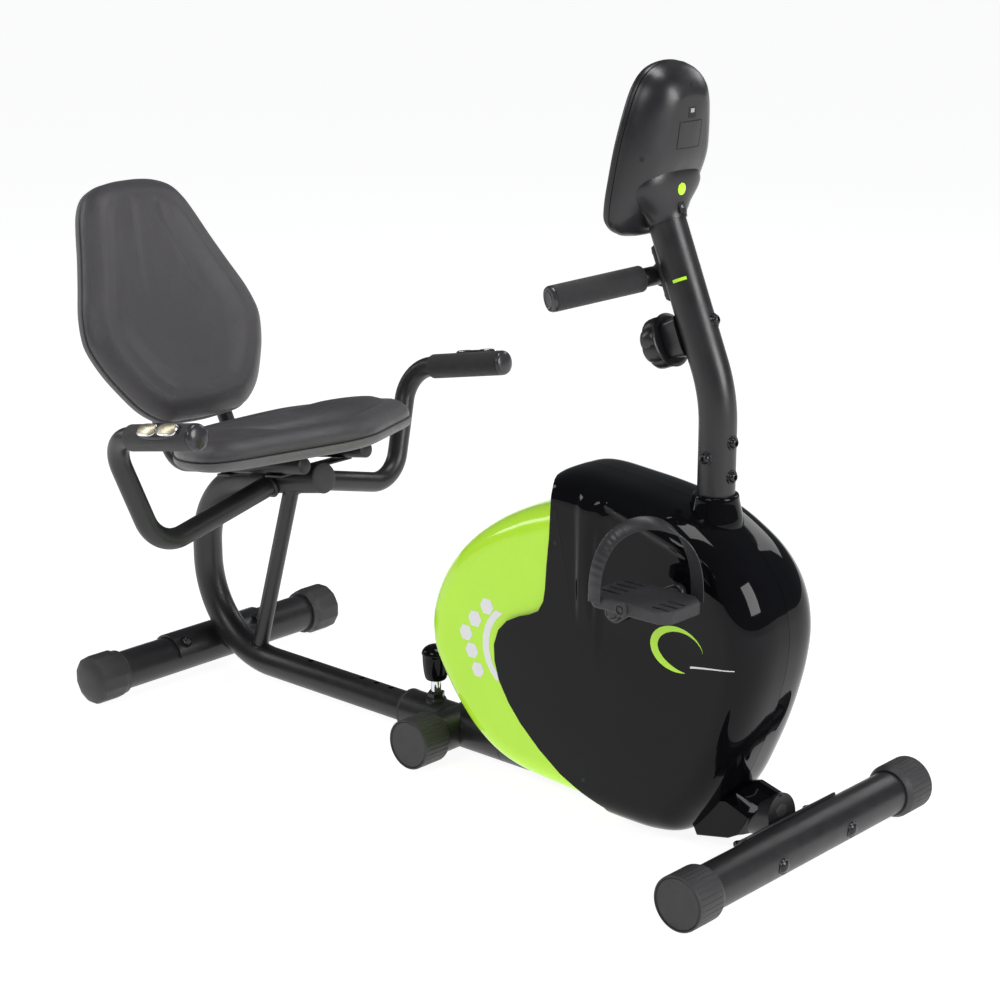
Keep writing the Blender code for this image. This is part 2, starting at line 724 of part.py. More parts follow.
def handle_path(sign):
    """Centre line of a side handle, from the seat tube out, up and forward to the hand."""
    root_z = seat_tube_height(HANDLE_X)
    wall = SLIDE_TUBE_R + 0.002
    corners = [
        (HANDLE_X, sign * wall, root_z - wall * 0.30),
        (HANDLE_X, sign * 0.246, 0.279),
        (FRONT_X - 1.0039, sign * 0.3075, 0.4603),
        (FRONT_X - 0.7985, sign * 0.3137, 0.4985),
    ]
    return rounded_path(corners, [0.055, 0.055], 7)


def build_handles():
    """Side handles with their hand grips and pulse sensors."""
    for side, sign in (("right", -1.0), ("left", 1.0)):
        path = handle_path(sign)
        corner, tip = path[-2], path[-1]
        way = (tip - corner).normalized()
        handle = tube(path[:-1] + [tip - way * 0.004], HANDLE_R, 4)
        finish(handle, f"seat_handle_{side}", "powder_black")
        bore = HANDLE_R + GAP
        length = (tip - corner).length - 0.006
        profile = [
            (0.0, length + 0.004),
            (0.011, length + 0.0030),
            (HAND_GRIP_R - 0.002, length),
            (HAND_GRIP_R, length - 0.004),
            (HAND_GRIP_R, 0.004),
            (HAND_GRIP_R - 0.002, 0.0),
            (bore, 0.0),
            (bore, length - 0.0005),
            (0.0, length - 0.0005),
        ]
        origin = corner + way * 0.004
        grip = turned(profile, origin, way, 22)
        sensor_start = origin + way * (length - 0.118)
        sensor_end = origin + way * (length - 0.018)
        lift = Vector((-way.z, 0.0, way.x)).normalized()
        pocket_low = HAND_GRIP_R - 0.0022
        pocket = sensor_block(sensor_start, sensor_end, lift, pocket_low - 0.0003, 0.0105, 0.010)
        grip = cut(grip, pocket)
        finish(grip, f"hand_grip_{side}", "grip_foam")
        inset = way * 0.0003
        plate_obj = sensor_block(sensor_start + inset, sensor_end - inset, lift, pocket_low, 0.0102, 0.0042)
        finish(plate_obj, f"pulse_sensor_{side}", "sensor_metal")


def sensor_block(start, end, lift, low, half_width, height):
    """A block on top of a hand grip, between two points of the grip's axis."""
    way = (end - start).normalized()
    across = lift.cross(way)
    basis = Matrix((way, across, lift)).transposed().to_4x4()
    length = (end - start).length
    obj = box((0.0, -half_width, low), (length, half_width, low + height), 0.0015, 1)
    obj.data.transform(Matrix.Translation(start) @ basis)
    return obj


LEG_BEHIND_BACK = 0.0373         # the leg's axis behind the backrest's middle plane
LEG_LENGTH = 0.250
BACK_ORIGIN = Vector((FRONT_X - 1.1434, 0.0, 0.4135))


def rail_path(sign):
    """Seat rail and backrest leg: one tube, bent up behind the seat."""
    lean = Vector((-math.sin(BACK_LEAN), 0.0, math.cos(BACK_LEAN)))
    rearward = Vector((-math.cos(BACK_LEAN), 0.0, -math.sin(BACK_LEAN)))
    foot = BACK_ORIGIN + rearward * LEG_BEHIND_BACK + Y_AXIS * (sign * RAIL_Y)
    slope = math.tan(SEAT_TILT)
    drop = (foot.z - RAIL_FRONT_Z + slope * (RAIL_FRONT_X - foot.x)) / (lean.z - slope * lean.x)
    corner = foot - lean * drop
    front = Vector((RAIL_FRONT_X, sign * RAIL_Y, RAIL_FRONT_Z))
    return rounded_path([front, corner, foot + lean * LEG_LENGTH], [0.040], 6)


def build_rails():
    for side, sign in (("right", -1.0), ("left", 1.0)):
        finish(tube(rail_path(sign), RAIL_R, 3), f"seat_rail_{side}", "powder_black")


# ---------------------------------------------------------------- seat and backrest
BACK_OUTLINE = [
    (0.000, -0.001), (0.045, 0.001), (0.075, 0.004), (0.098, 0.016), (0.120, 0.036), (0.141, 0.068),
    (0.158, 0.100), (0.170, 0.135), (0.1715, 0.160), (0.163, 0.198), (0.145, 0.243), (0.128, 0.287),
    (0.113, 0.330), (0.101, 0.358), (0.084, 0.380), (0.058, 0.393), (0.030, 0.398), (0.000, 0.399),
]
SEAT_ORIGIN = Vector((FRONT_X - 0.868, 0.0, 0.4135))
SEAT_OUTLINE = [
    (0.000, 0.074), (0.030, 0.070), (0.062, 0.056), (0.105, 0.034), (0.150, 0.012), (0.182, -0.007),
    (0.199, -0.028), (0.2035, -0.054), (0.198, -0.090), (0.183, -0.132), (0.160, -0.172),
    (0.132, -0.206), (0.102, -0.226), (0.060, -0.234), (0.000, -0.236),
]


def full_outline(half, count):
    """A smooth symmetric outline from the half given on the positive side."""
    other = [(-across, along) for across, along in reversed(half[1:-1])]
    return smooth_outline(half + other, count)


def pad_matrix(origin, along, normal):
    """A frame whose local X is +Y of the world, local Y runs along the pad and local Z is its normal."""
    basis = Matrix((Y_AXIS, along, normal)).transposed().to_4x4()
    return Matrix.Translation(origin) @ basis


def slab(outline, levels, matrix):
    """A closed slab made of insets of one outline at given heights."""
    rings = []
    for inset, height in levels:
        ring = inset_outline(outline, inset)
        rings.append([matrix @ Vector((x, y, height)) for x, y in ring])
    return loft_rings(rings)


PAD_COUNT = 44
SHELL_LEVELS = [(0.016, -0.0145), (0.004, -0.0120), (0.0, -0.006), (0.0, 0.0)]
BACK_PAD_LEVELS = [
    (0.003, GAP), (0.002, 0.014), (0.004, 0.026), (0.014, 0.035), (0.034, 0.0385), (0.070, 0.0385),
]
SEAT_PAD_LEVELS = [
    (0.004, GAP), (0.003, 0.012), (0.006, 0.024), (0.016, 0.034), (0.036, 0.038), (0.066, 0.036),
]


def build_back():
    along = Vector((-math.sin(BACK_LEAN), 0.0, math.cos(BACK_LEAN)))
    normal = Vector((math.cos(BACK_LEAN), 0.0, math.sin(BACK_LEAN)))
    matrix = pad_matrix(BACK_ORIGIN - normal * 0.010, along, normal)
    outline = full_outline(BACK_OUTLINE, PAD_COUNT)
    finish(slab(outline, SHELL_LEVELS, matrix), "back_shell", "shell_grey")
    finish(slab(outline, BACK_PAD_LEVELS, matrix), "back_pad", "pad_foam")


def build_seat():
    along = Vector((math.cos(SEAT_TILT), 0.0, math.sin(SEAT_TILT)))
    normal = Vector((-math.sin(SEAT_TILT), 0.0, math.cos(SEAT_TILT)))
    matrix = pad_matrix(SEAT_ORIGIN + normal * 0.0105, along, normal)
    outline = full_outline(SEAT_OUTLINE, PAD_COUNT)
    finish(slab(outline, SHELL_LEVELS, matrix), "seat_shell", "shell_grey")
    finish(slab(outline, SEAT_PAD_LEVELS, matrix), "seat_pad", "pad_foam")


# ---------------------------------------------------------------- pull pin
def build_pull_pin():
    """Knob, chrome stem and pin in one piece; it is pulled straight up."""
    profile = [
        (0.0, 0.1500),
        (0.008, 0.1492),
        (0.0160, 0.1465),
        (0.0205, 0.1425),
        (0.0212, 0.1395),
        (0.0205, 0.1300),
        (0.0180, 0.1060),
        (0.0150, 0.0985),
        (0.0080, 0.0975),
        (0.0080, BOSS_TOP_Z + GAP),
        (PIN_BORE_R - 0.0004, BOSS_TOP_Z + GAP),
        (PIN_BORE_R - 0.0004, SLEEVE_Z + SLIDE_TUBE_R + 0.0006),
        (0.0, SLEEVE_Z + SLIDE_TUBE_R + 0.0006),
    ]
    pin = turned(profile, (PIN_X, 0.0, 0.0), (0.0, 0.0, 1.0), 24)
    finish(pin, "pull_pin", "gloss_black")
    set_origin(pin, (PIN_X, 0.0, BOSS_TOP_Z))


# ---------------------------------------------------------------- post, bar and knob
POST_WAY = Vector((-math.sin(POST_TILT), 0.0, math.cos(POST_TILT)))
POST_FACE = Vector((-math.cos(POST_TILT), 0.0, -math.sin(POST_TILT)))
POST_CORNER = Vector((POST_X, 0.0, POST_CORNER_Z))


def post_point(distance):
    """A point on the post's upper centre line, measured from the bend's corner."""
    return POST_CORNER + POST_WAY * distance


def screw_head(place, way, radius=0.0065, height=0.004, length=0.006):
    """A round screw head on a short shank that sits in a drilled hole."""
    head = [(0.0, height), (radius * 0.6, height * 0.9), (radius, height * 0.35), (radius, GAP), (0.0, GAP)]
    top = turned(head, place, way, 16)
    shank = cylinder(Vector(place) + Vector(way) * 0.001, Vector(place) - Vector(way) * length, 0.0025, 12)
    return union(top, shank)


def drill(place, way, depth=0.03):
    start = Vector(place) + Vector(way) * 0.01
    return cylinder(start, Vector(place) - Vector(way) * depth, 0.0025 + GAP, 12)


POST_SCREWS = {
    "post_screw_front_low": (0.502, 0.0),
    "post_screw_front_high": (0.547, 0.0),
    "post_screw_side": (0.527, 90.0),
}


def screw_place(z, angle):
    way = Vector((math.cos(math.radians(angle)), -math.sin(math.radians(angle)), 0.0))
    return Vector((POST_X, 0.0, z)) + way * POST_R, way


def build_post():
    top = post_point(POST_UPPER_LENGTH)
    path = rounded_path([(POST_X, 0.0, POST_BOTTOM_Z), POST_CORNER, top], [POST_BEND_RADIUS], 6)
    post = tube(path, POST_R, 4)
    bore = cylinder((POST_X, 0.0, POST_BOTTOM_Z - 0.01), (POST_X, 0.0, STEM_TOP_Z + 0.006),
                    POST_R - POST_WALL, 24)
    cutters = [bore]
    for name, spec in POST_SCREWS.items():
        place, way = screw_place(*spec)
        cutters.append(drill(place, way, 0.010))
    post = cut(post, *cutters)
    finish(post, "console_post", "powder_black")
    for name, spec in POST_SCREWS.items():
        place, way = screw_place(*spec)
        finish(screw_head(place, way, length=0.0012), name, "matte_black")
    collar_profile = [
        (0.0288, 0.4760),
        (0.0304, 0.4740),
        (0.0316, 0.4660),
        (0.0370, 0.4440),
        (0.0374, 0.4330),
        (0.0344, 0.4330),
        (0.0292, 0.4640),
        (POST_R + GAP, 0.4640),
        (POST_R + GAP, 0.4760),
    ]
    collar = turned(collar_profile, (POST_X, 0.0, 0.0), (0.0, 0.0, 1.0), 24)
    finish(collar, "post_collar", "gloss_black")


COLLAR_OPENING_R = 0.0385
KNOB_DISTANCE = 0.0865
KNOB_R = 0.0345


def build_tension_knob():
    """The lobed knob that sets the brake, on a dial plate behind the post."""
    seat = post_point(KNOB_DISTANCE) + POST_FACE * (POST_R + GAP)
    plate_profile = [(0.0, 0.022), (0.030, 0.022), (0.0305, 0.018), (0.024, 0.0035), (0.0, 0.0035)]
    dial = turned(plate_profile, seat, POST_FACE, 22)
    dial_foot = cylinder(seat + POST_FACE * 0.004, seat - POST_FACE * 0.004, 0.014, 20)
    dial = union(dial, dial_foot)
    saddle_path = [post_point(KNOB_DISTANCE - 0.05), post_point(KNOB_DISTANCE + 0.05)]
    saddle = tube(saddle_path, POST_R + 2.0 * GAP, 8)
    dial = cut(dial, saddle)
    finish(dial, "tension_dial", "satin_black")
    rings = []
    sides = 40
    face = axis_matrix(seat + POST_FACE * (0.022 + GAP), POST_FACE)
    for radius, height, depth in ((0.031, 0.0, 0.0), (KNOB_R, 0.003, 0.6), (KNOB_R, 0.016, 1.0),
                                  (0.031, 0.0255, 0.8), (0.024, 0.0285, 0.3)):
        ring = []
        for i in range(sides):
            angle = 2.0 * math.pi * i / sides
            wave = 0.5 - 0.5 * math.cos(8.0 * angle)
            r = radius - 0.0035 * depth * wave
            ring.append(face @ Vector((r * math.cos(angle), r * math.sin(angle), height)))
        rings.append(ring)
    knob = loft_rings(rings)
    finish(knob, "tension_knob", "gloss_black")
    set_origin(knob, seat + POST_FACE * 0.022)


BAR_DISTANCE = 0.171
BAR_OFFSET = POST_R + GRIP_BAR_R + 0.001
BAR_ARM = (-0.0582, 0.1380, -0.0187)


def bar_end(sign):
    middle = post_point(BAR_DISTANCE) + POST_FACE * BAR_OFFSET
    return middle + Vector((BAR_ARM[0], sign * BAR_ARM[1], BAR_ARM[2]))


def build_console_bar():
    """The short handlebar clamped behind the post, with foam grips."""
    middle = post_point(BAR_DISTANCE) + POST_FACE * BAR_OFFSET
    path = rounded_path([bar_end(-1.0), middle, bar_end(1.0)], [0.05], 6)
    bar = tube(path, GRIP_BAR_R, 3)
    saddle = tube([post_point(BAR_DISTANCE - 0.07), post_point(BAR_DISTANCE + 0.07)], POST_R + 2.0 * GAP, 8)
    tab_matrix = Matrix((POST_WAY, Y_AXIS, POST_FACE)).transposed().to_4x4()
    tab = box((-0.034, -0.0135, 0.0), (0.034, 0.0135, POST_R + 0.010), 0.002)
    tab.data.transform(Matrix.Translation(post_point(BAR_DISTANCE)) @ tab_matrix)
    bar = union(bar, tab)
    bar = cut(bar, saddle)
    finish(bar, "console_bar", "powder_black")
    for side, sign in (("right", -1.0), ("left", 1.0)):
        tip = bar_end(sign)
        way = (tip - middle).normalized()
        start = middle + way * 0.024
        length = (tip - start).length + 0.006
        bore = GRIP_BAR_R + GAP
        profile = [
            (0.0, length + 0.0025),
            (0.010, length + 0.0018),
            (GRIP_R - 0.002, length),
            (GRIP_R, length - 0.002),
            (GRIP_R, 0.002),
            (GRIP_R - 0.002, 0.0),
            (bore, 0.0),
            (bore, length - 0.0055),
            (0.0, length - 0.0055),
        ]
        finish(turned(profile, start, way, 22), f"console_grip_{side}", "grip_foam")


# ---------------------------------------------------------------- console
CONSOLE_OUTLINE = [
    (0.000, 0.000), (0.026, -0.003), (0.046, -0.013), (0.060, -0.032), (0.069, -0.062), (0.0765, -0.105),
    (0.0795, -0.148), (0.0800, -0.180), (0.0750, -0.203), (0.0560, -0.2185), (0.0280, -0.2240),
    (0.000, -0.2250),
]
CONSOLE_BACK_LEVELS = [
    (0.0015, 0.0085), (0.0, 0.0120), (0.0010, 0.0200), (0.0060, 0.0320), (0.0150, 0.0440),
    (0.0280, 0.0530), (0.0420, 0.0570),
]


def console_frame():
    """Local X is world Y, local Y runs up the console's face, local Z points to the rider."""
    along = Vector((math.sin(CONSOLE_TILT), 0.0, math.cos(CONSOLE_TILT)))
    normal = Vector((-math.cos(CONSOLE_TILT), 0.0, math.sin(CONSOLE_TILT)))
    return pad_matrix(Vector((CONSOLE_TOP[0], 0.0, CONSOLE_TOP[1])), along, -normal)


DISPLAY_SIZE = (0.034, -0.098, -0.036)
BUTTON_V = -0.135
BUTTON_R = 0.0075
DOOR_LOW = (-0.020, -0.098)
DOOR_HIGH = (0.020, -0.066)


def build_console():
    matrix = console_frame()
    outline = full_outline(CONSOLE_OUTLINE, 40)
    rings = []
    for inset, depth in CONSOLE_BACK_LEVELS:
        ring = inset_outline(outline, inset)
        rings.append([matrix @ Vector((x, y, depth)) for x, y in ring])
    back = loft_rings(rings)
    top = post_point(POST_UPPER_LENGTH)
    neck_start = post_point(POST_UPPER_LENGTH - 0.013)
    neck = turned([
        (0.0, 0.050), (0.030, 0.047), (0.0375, 0.036), (0.0345, 0.022), (0.0300, 0.009), (0.0285, 0.0),
        (0.0, 0.0),
    ], neck_start, POST_WAY, 22)
    face_side = box((-0.10, -0.30, -0.10), (0.10, 0.10, CONSOLE_BACK_LEVELS[0][1]))
    face_side.data.transform(matrix)
    back = union(back, cut(neck, face_side))
    socket = tube([neck_start - POST_WAY * 0.02, top + POST_WAY * GAP], POST_R + 2.0 * GAP, 8)
    room_levels = [(0.0045, 0.0060), (0.0045, 0.0220), (0.0130, 0.0370), (0.0290, 0.0480)]
    room_rings = []
    for inset, depth in room_levels:
        ring = inset_outline(outline, inset)
        room_rings.append([matrix @ Vector((x, max(y, -0.150), depth)) for x, y in ring])
    room = loft_rings(room_rings)
    door_hole = box((DOOR_LOW[0], DOOR_LOW[1], 0.040), (DOOR_HIGH[0], DOOR_HIGH[1], 0.070))
    door_hole.data.transform(matrix)
    back = cut(back, socket, room, door_hole)
    finish(back, "console_back", "satin_black", 35.0)

    face_rings = []
    for inset, depth in ((0.0015, 0.0082), (0.0, 0.0050), (0.0030, -0.0030), (0.0100, -0.0045)):
        ring = inset_outline(outline, inset)
        face_rings.append([matrix @ Vector((x, y, depth)) for x, y in ring])
    face = loft_rings(face_rings)
    half, low, high = DISPLAY_SIZE
    window = box((-half, low, -0.010), (half, high, 0.010))
    window.data.transform(matrix)
    start = matrix @ Vector((0.0, BUTTON_V, -0.010))
    end = matrix @ Vector((0.0, BUTTON_V, 0.010))
    button_hole = cylinder(start, end, BUTTON_R + 0.0004, 20)
    face = cut(face, window, button_hole)
    finish(face, "console_face", "satin_black", 35.0)

    glass = box((-half + GAP, low + GAP, -0.0035), (half - GAP, high - GAP, 0.0005))
    glass.data.transform(matrix)
    finish(glass, "display_window", "display_glass")
    place = matrix @ Vector((0.0, BUTTON_V, 0.0))
    way = (matrix.to_3x3() @ Vector((0.0, 0.0, -1.0))).normalized()
    profile = [(0.0, 0.0075), (0.0050, 0.0072), (BUTTON_R, 0.0058), (BUTTON_R, 0.0), (0.0, 0.0)]
    button = finish(turned(profile, place, way, 20), "mode_button", "shell_grey")
    set_origin(button, place)
    clear = 0.0004
    door_low = (DOOR_LOW[0] + clear, DOOR_LOW[1] + clear, 0.0540)
    door_high = (DOOR_HIGH[0] - clear, DOOR_HIGH[1] - clear, 0.0572)
    door = box(door_low, door_high)
    door.data.transform(matrix)
    finish(door, "battery_door", "satin_black")
    set_origin(door, matrix @ Vector((0.0, DOOR_LOW[1] + clear, 0.0572)))


# ---------------------------------------------------------------- casing
def case_point(u, z):
    return FRONT_X + u, z


GREEN_OUTLINE = [case_point(u, z) for u, z in (
    (-0.330, 0.4500), (-0.395, 0.4270), (-0.450, 0.4060), (-0.500, 0.3790), (-0.545, 0.3440),
    (-0.580, 0.3020), (-0.602, 0.2580), (-0.610, 0.2150), (-0.605, 0.1760), (-0.585, 0.1380),
    (-0.556, 0.0990), (-0.520, 0.0640), (-0.478, 0.0390), (-0.430, 0.0260), (-0.370, 0.0205),
    (-0.300, 0.0195), (-0.240, 0.0400), (-0.200, 0.1200), (-0.200, 0.2500), (-0.230, 0.3700),
    (-0.275, 0.4350),
)]
BLACK_OUTLINE = [case_point(u, z) for u, z in (
    (-0.205, 0.4660), (-0.250, 0.4725), (-0.300, 0.4770), (-0.345, 0.4800), (-0.372, 0.4770),
    (-0.392, 0.4640), (-0.440, 0.4200), (-0.500, 0.3850), (-0.548, 0.3500), (-0.585, 0.3060),
    (-0.607, 0.2600), (-0.615, 0.2150), (-0.610, 0.1740), (-0.590, 0.1350), (-0.560, 0.0950),
    (-0.523, 0.0590), (-0.480, 0.0340), (-0.430, 0.0170), (-0.370, 0.0085), (-0.300, 0.0065),
    (-0.240, 0.0050), (-0.190, 0.0065), (-0.150, 0.0180), (-0.117, 0.0530), (-0.094, 0.0860),
    (-0.075, 0.1260), (-0.057, 0.1700), (-0.042, 0.2170), (-0.032, 0.2600), (-0.028, 0.3020),
    (-0.034, 0.3420), (-0.050, 0.3790), (-0.076, 0.4100), (-0.110, 0.4340), (-0.155, 0.4560),
)]
# the seam between the black and the green covers, top to bottom
SEAM = [case_point(u, z) for u, z in (
    (-0.3610, 0.5200), (-0.3615, 0.4460), (-0.3650, 0.3890), (-0.3690, 0.3500), (-0.3710, 0.3170),
    (-0.3740, 0.2990), (-0.3830, 0.2830), (-0.4000, 0.2740), (-0.4190, 0.2670), (-0.4400, 0.2560),
    (-0.4560, 0.2390), (-0.4640, 0.2160), (-0.4630, 0.1930), (-0.4550, 0.1660), (-0.4370, 0.1370),
    (-0.4150, 0.1120), (-0.3800, 0.0820), (-0.3430, 0.0570), (-0.3060, 0.0400), (-0.2700, 0.0260),
    (-0.2500, -0.0300),
)]
CASE_COUNT = 46
CASE_LEVELS = [(0.0, 0.0), (0.0012, 0.40), (0.0050, 0.66), (0.0130, 0.86), (0.0260, 0.97), (0.0430, 1.0)]


def half_case(outline, half_width, sign):
    """One side cover: an open dished surface, thickened inwards."""
    bm = bmesh.new()
    rows = []
    ring_outline = smooth_outline(outline, CASE_COUNT)
    for inset, share in CASE_LEVELS:
        ring = inset_outline(ring_outline, inset)
        rows.append([bm.verts.new((x, sign * (GAP + share * (half_width - GAP)), z)) for x, z in ring])
    count = len(ring_outline)
    for lower, upper in zip(rows, rows[1:]):
        for i in range(count):
            j = (i + 1) % count
            bm.faces.new((lower[i], lower[j], upper[j], upper[i]))
    bm.faces.new(rows[-1])
    obj = object_from_bmesh(bm, "case")
    shell = obj.modifiers.new("wall", "SOLIDIFY")
    shell.thickness = CASE_WALL
    shell.offset = -1.0
    shell.use_even_offset = True
    return apply_modifiers(obj)


def seam_prism(behind):
    """A tall block on one side of the seam: the rear, green side or the front, black side."""
    half_gap = GAP / 2.0
    if behind:
        edge = [(x - half_gap, z) for x, z in SEAM]
        outline = edge + [(FRONT_X - 0.75, -0.03), (FRONT_X - 0.75, 0.52)]
    else:
        edge = [(x + half_gap, z) for x, z in SEAM]
        outline = edge + [(FRONT_X + 0.10, -0.03), (FRONT_X + 0.10, 0.52)]
    return plate(outline, 0.30, side_frame())


def build_casing():
    """Black covers in front, green covers behind, with the openings for frame, post and crank."""
    green = half_case(GREEN_OUTLINE, GREEN_HALF_WIDTH, -1.0)
    green = cut(green, seam_prism(False), sleeve_clearance())
    finish(green, "green_cover_right", "gloss_green", 30.0)
    finish(mirrored(green), "green_cover_left", "gloss_green", 30.0)
    black = half_case(BLACK_OUTLINE, CASE_HALF_WIDTH, -1.0)
    post_hole = cylinder((POST_X, 0.0, 0.38), (POST_X, 0.0, 0.52), COLLAR_OPENING_R, 22)
    crank_hole = cylinder((CRANK_X, -0.2, CRANK_Z), (CRANK_X, 0.2, CRANK_Z), AXLE_R + 0.004, 24)
    black = cut(black, seam_prism(True), sleeve_clearance(), post_hole, crank_hole)
    finish(black, "black_cover_right", "gloss_black", 30.0)
    finish(mirrored(black), "black_cover_left", "gloss_black", 30.0)


def sleeve_clearance():
    """The tunnel for the sleeve tube at the foot of the casing."""
    slope = (NECK_END[1] - SLEEVE_Z) / (NECK_END[0] - NECK_RISE_X)
    far_x = FRONT_X + 0.02
    corners = [
        (FRONT_X - 0.80, 0.0, SLEEVE_Z),
        (NECK_RISE_X, 0.0, SLEEVE_Z),
        (far_x, 0.0, SLEEVE_Z + slope * (far_x - NECK_RISE_X)),
    ]
    return tube(rounded_path(corners, [NECK_BEND_RADIUS], 4), SLEEVE_R + 0.0015, 6)


# ---------------------------------------------------------------- drive
def build_drive():
    axle_reach = CRANK_PLANE_Y + 0.0075
    axle = cylinder((CRANK_X, -axle_reach, CRANK_Z), (CRANK_X, axle_reach, CRANK_Z), AXLE_R, 20)
    finish(axle, "crank_axle", "zinc")
    set_origin(axle, (CRANK_X, 0.0, CRANK_Z))
    bore = AXLE_R + GAP
    width = 0.008
    pulley_profile = [
        (PULLEY_R, width),
        (PULLEY_R, -width),
        (PULLEY_R - 0.008, -0.003),
        (0.020, -0.003),
        (0.018, -width),
        (bore, -width),
        (bore, width),
        (0.018, width),
        (0.020, 0.003),
        (PULLEY_R - 0.008, 0.003),
    ]
    pulley = turned(pulley_profile, (CRANK_X, BELT_Y, CRANK_Z), (0.0, 1.0, 0.0), 24)
    finish(pulley, "crank_pulley", "matte_black")
    set_origin(pulley, (CRANK_X, BELT_Y, CRANK_Z))
    hub = FLYWHEEL_AXLE_R + 0.00008
    wheel_profile = [
        (SMALL_PULLEY_R, BELT_Y + width),
        (SMALL_PULLEY_R, BELT_Y - width),
        (0.014, BELT_Y - width - 0.002),
        (0.014, 0.006),
        (0.030, 0.004),
        (FLYWHEEL_R - 0.020, 0.004),
        (FLYWHEEL_R - 0.018, 0.012),
        (FLYWHEEL_R, 0.012),
        (FLYWHEEL_R, -0.014),
        (FLYWHEEL_R - 0.018, -0.014),
        (FLYWHEEL_R - 0.020, -0.004),
        (0.030, -0.004),
        (0.014, -0.006),
        (0.014, -0.040),
        (hub, -0.040),
        (hub, BELT_Y + width),
    ]
    flywheel = turned(wheel_profile, (FLYWHEEL_X, 0.0, FLYWHEEL_Z), (0.0, 1.0, 0.0), 24)
    finish(flywheel, "flywheel", "cast_iron")
    set_origin(flywheel, (FLYWHEEL_X, 0.0, FLYWHEEL_Z))
    axle_low = FORK_Y[0] - 0.0070
    axle_high = FORK_Y[1] + 0.0070
    low_end = (FLYWHEEL_X, axle_low, FLYWHEEL_Z)
    high_end = (FLYWHEEL_X, axle_high, FLYWHEEL_Z)
    fly_axle = cylinder(low_end, high_end, FLYWHEEL_AXLE_R, 16)
    finish(fly_axle, "flywheel_axle", "zinc")
    build_belt()
    build_brake()


def belt_outline(extra):
    """The outline of an open belt round both pulleys, at a distance outside them."""
    crank = Vector((CRANK_X, CRANK_Z))
    wheel = Vector((FLYWHEEL_X, FLYWHEEL_Z))
    line = wheel - crank
    heading = math.atan2(line.y, line.x)
    big = PULLEY_R + extra
    small = SMALL_PULLEY_R + extra
    spread = math.acos((big - small) / line.length)
    outline = arc_points(crank, big, heading + spread, heading + 2.0 * math.pi - spread, 22)
    outline += arc_points(wheel, small, heading - spread, heading + spread, 9)
    return outline


def build_belt():
    width = 0.013
    belt = plate(belt_outline(0.0035), width, side_frame(BELT_Y))
    hole = plate(belt_outline(0.0012), width * 2.0, side_frame(BELT_Y))
    belt = cut(belt, hole)
    finish(belt, "drive_belt", "belt_rubber")


ARM_EYE_R = 0.009
ARM_CLEARANCE = 0.010
ARM_DEPTH = 0.009


def build_brake():
    """The magnet arm behind the flywheel's rim, on its pivot, with the cable to the knob."""
    start = math.radians(150.0)
    end = ARM_PIVOT_ANGLE
    centre = (FLYWHEEL_X, FLYWHEEL_Z)
    inner = FLYWHEEL_R + ARM_CLEARANCE
    outline = arc_points(centre, inner, start, end, 14)
    outline += arc_points(centre, inner + ARM_DEPTH, end, start, 14)
    shoe = plate(outline, 0.026, side_frame(-0.001))
    pivot = Vector((ARM_PIVOT[0], 0.0, ARM_PIVOT[1]))
    eye = cylinder(pivot - Y_AXIS * 0.013, pivot + Y_AXIS * 0.011, ARM_EYE_R, 16)
    arm = union(shoe, eye)
    pin_hole = cylinder(pivot - Y_AXIS * 0.05, pivot + Y_AXIS * 0.05, ARM_PIN_R + GAP, 16)
    arm = cut(arm, pin_hole)
    finish(arm, "magnet_arm", "zinc")
    set_origin(arm, pivot)


# ---------------------------------------------------------------- cranks and pedals
PEDAL_OFFSET = Vector((math.cos(CRANK_ANGLE), 0.0, math.sin(CRANK_ANGLE))) * CRANK_LENGTH
PEDAL_HALF_LENGTH = 0.066
PEDAL_THICKNESS = 0.018
SPINDLE_R = 0.0055
REAR_SLOT_Y = (0.132, 0.148, 0.164, 0.180)
FRONT_SLOT_Y = (0.132, 0.148, 0.164, 0.180)


def crank_arm(sign):
    """One crank: a tapered arm on the axle, with the pedal's eye at its end."""
    centre = Vector((CRANK_X, 0.0, CRANK_Z))
    tip = centre + PEDAL_OFFSET * -sign
    y_in = sign * (CRANK_PLANE_Y - 0.006)
    y_out = sign * (CRANK_PLANE_Y + 0.006)
    way = (tip - centre).normalized()
    outline = []
    heading = math.atan2(way.z, way.x)
    quarter = math.pi / 2.0
    outline += arc_points((centre.x, centre.z), 0.0165, heading + quarter, heading + 3.0 * quarter, 11)
    outline += arc_points((tip.x, tip.z), 0.0125, heading - quarter, heading + quarter, 11)
    arm = plate(outline, 0.012, side_frame(sign * CRANK_PLANE_Y), 0.0012)
    cap_start = centre + Y_AXIS * (y_in + sign * 0.004)
    cap = cylinder(cap_start, centre + Y_AXIS * (y_out + sign * 0.004), 0.0130, 22)
    arm = union(arm, cap)
    axle_hole_end = centre + Y_AXIS * (sign * (CRANK_PLANE_Y + 0.0080))
    axle_hole = cylinder(centre + Y_AXIS * (sign * 0.05), axle_hole_end, AXLE_R + GAP, 20)
    eye_radius = SPINDLE_R + 0.00025
    eye_hole = cylinder(tip + Y_AXIS * (sign * 0.05), tip + Y_AXIS * (sign * 0.2), eye_radius, 16)
    return cut(arm, axle_hole, eye_hole), tip


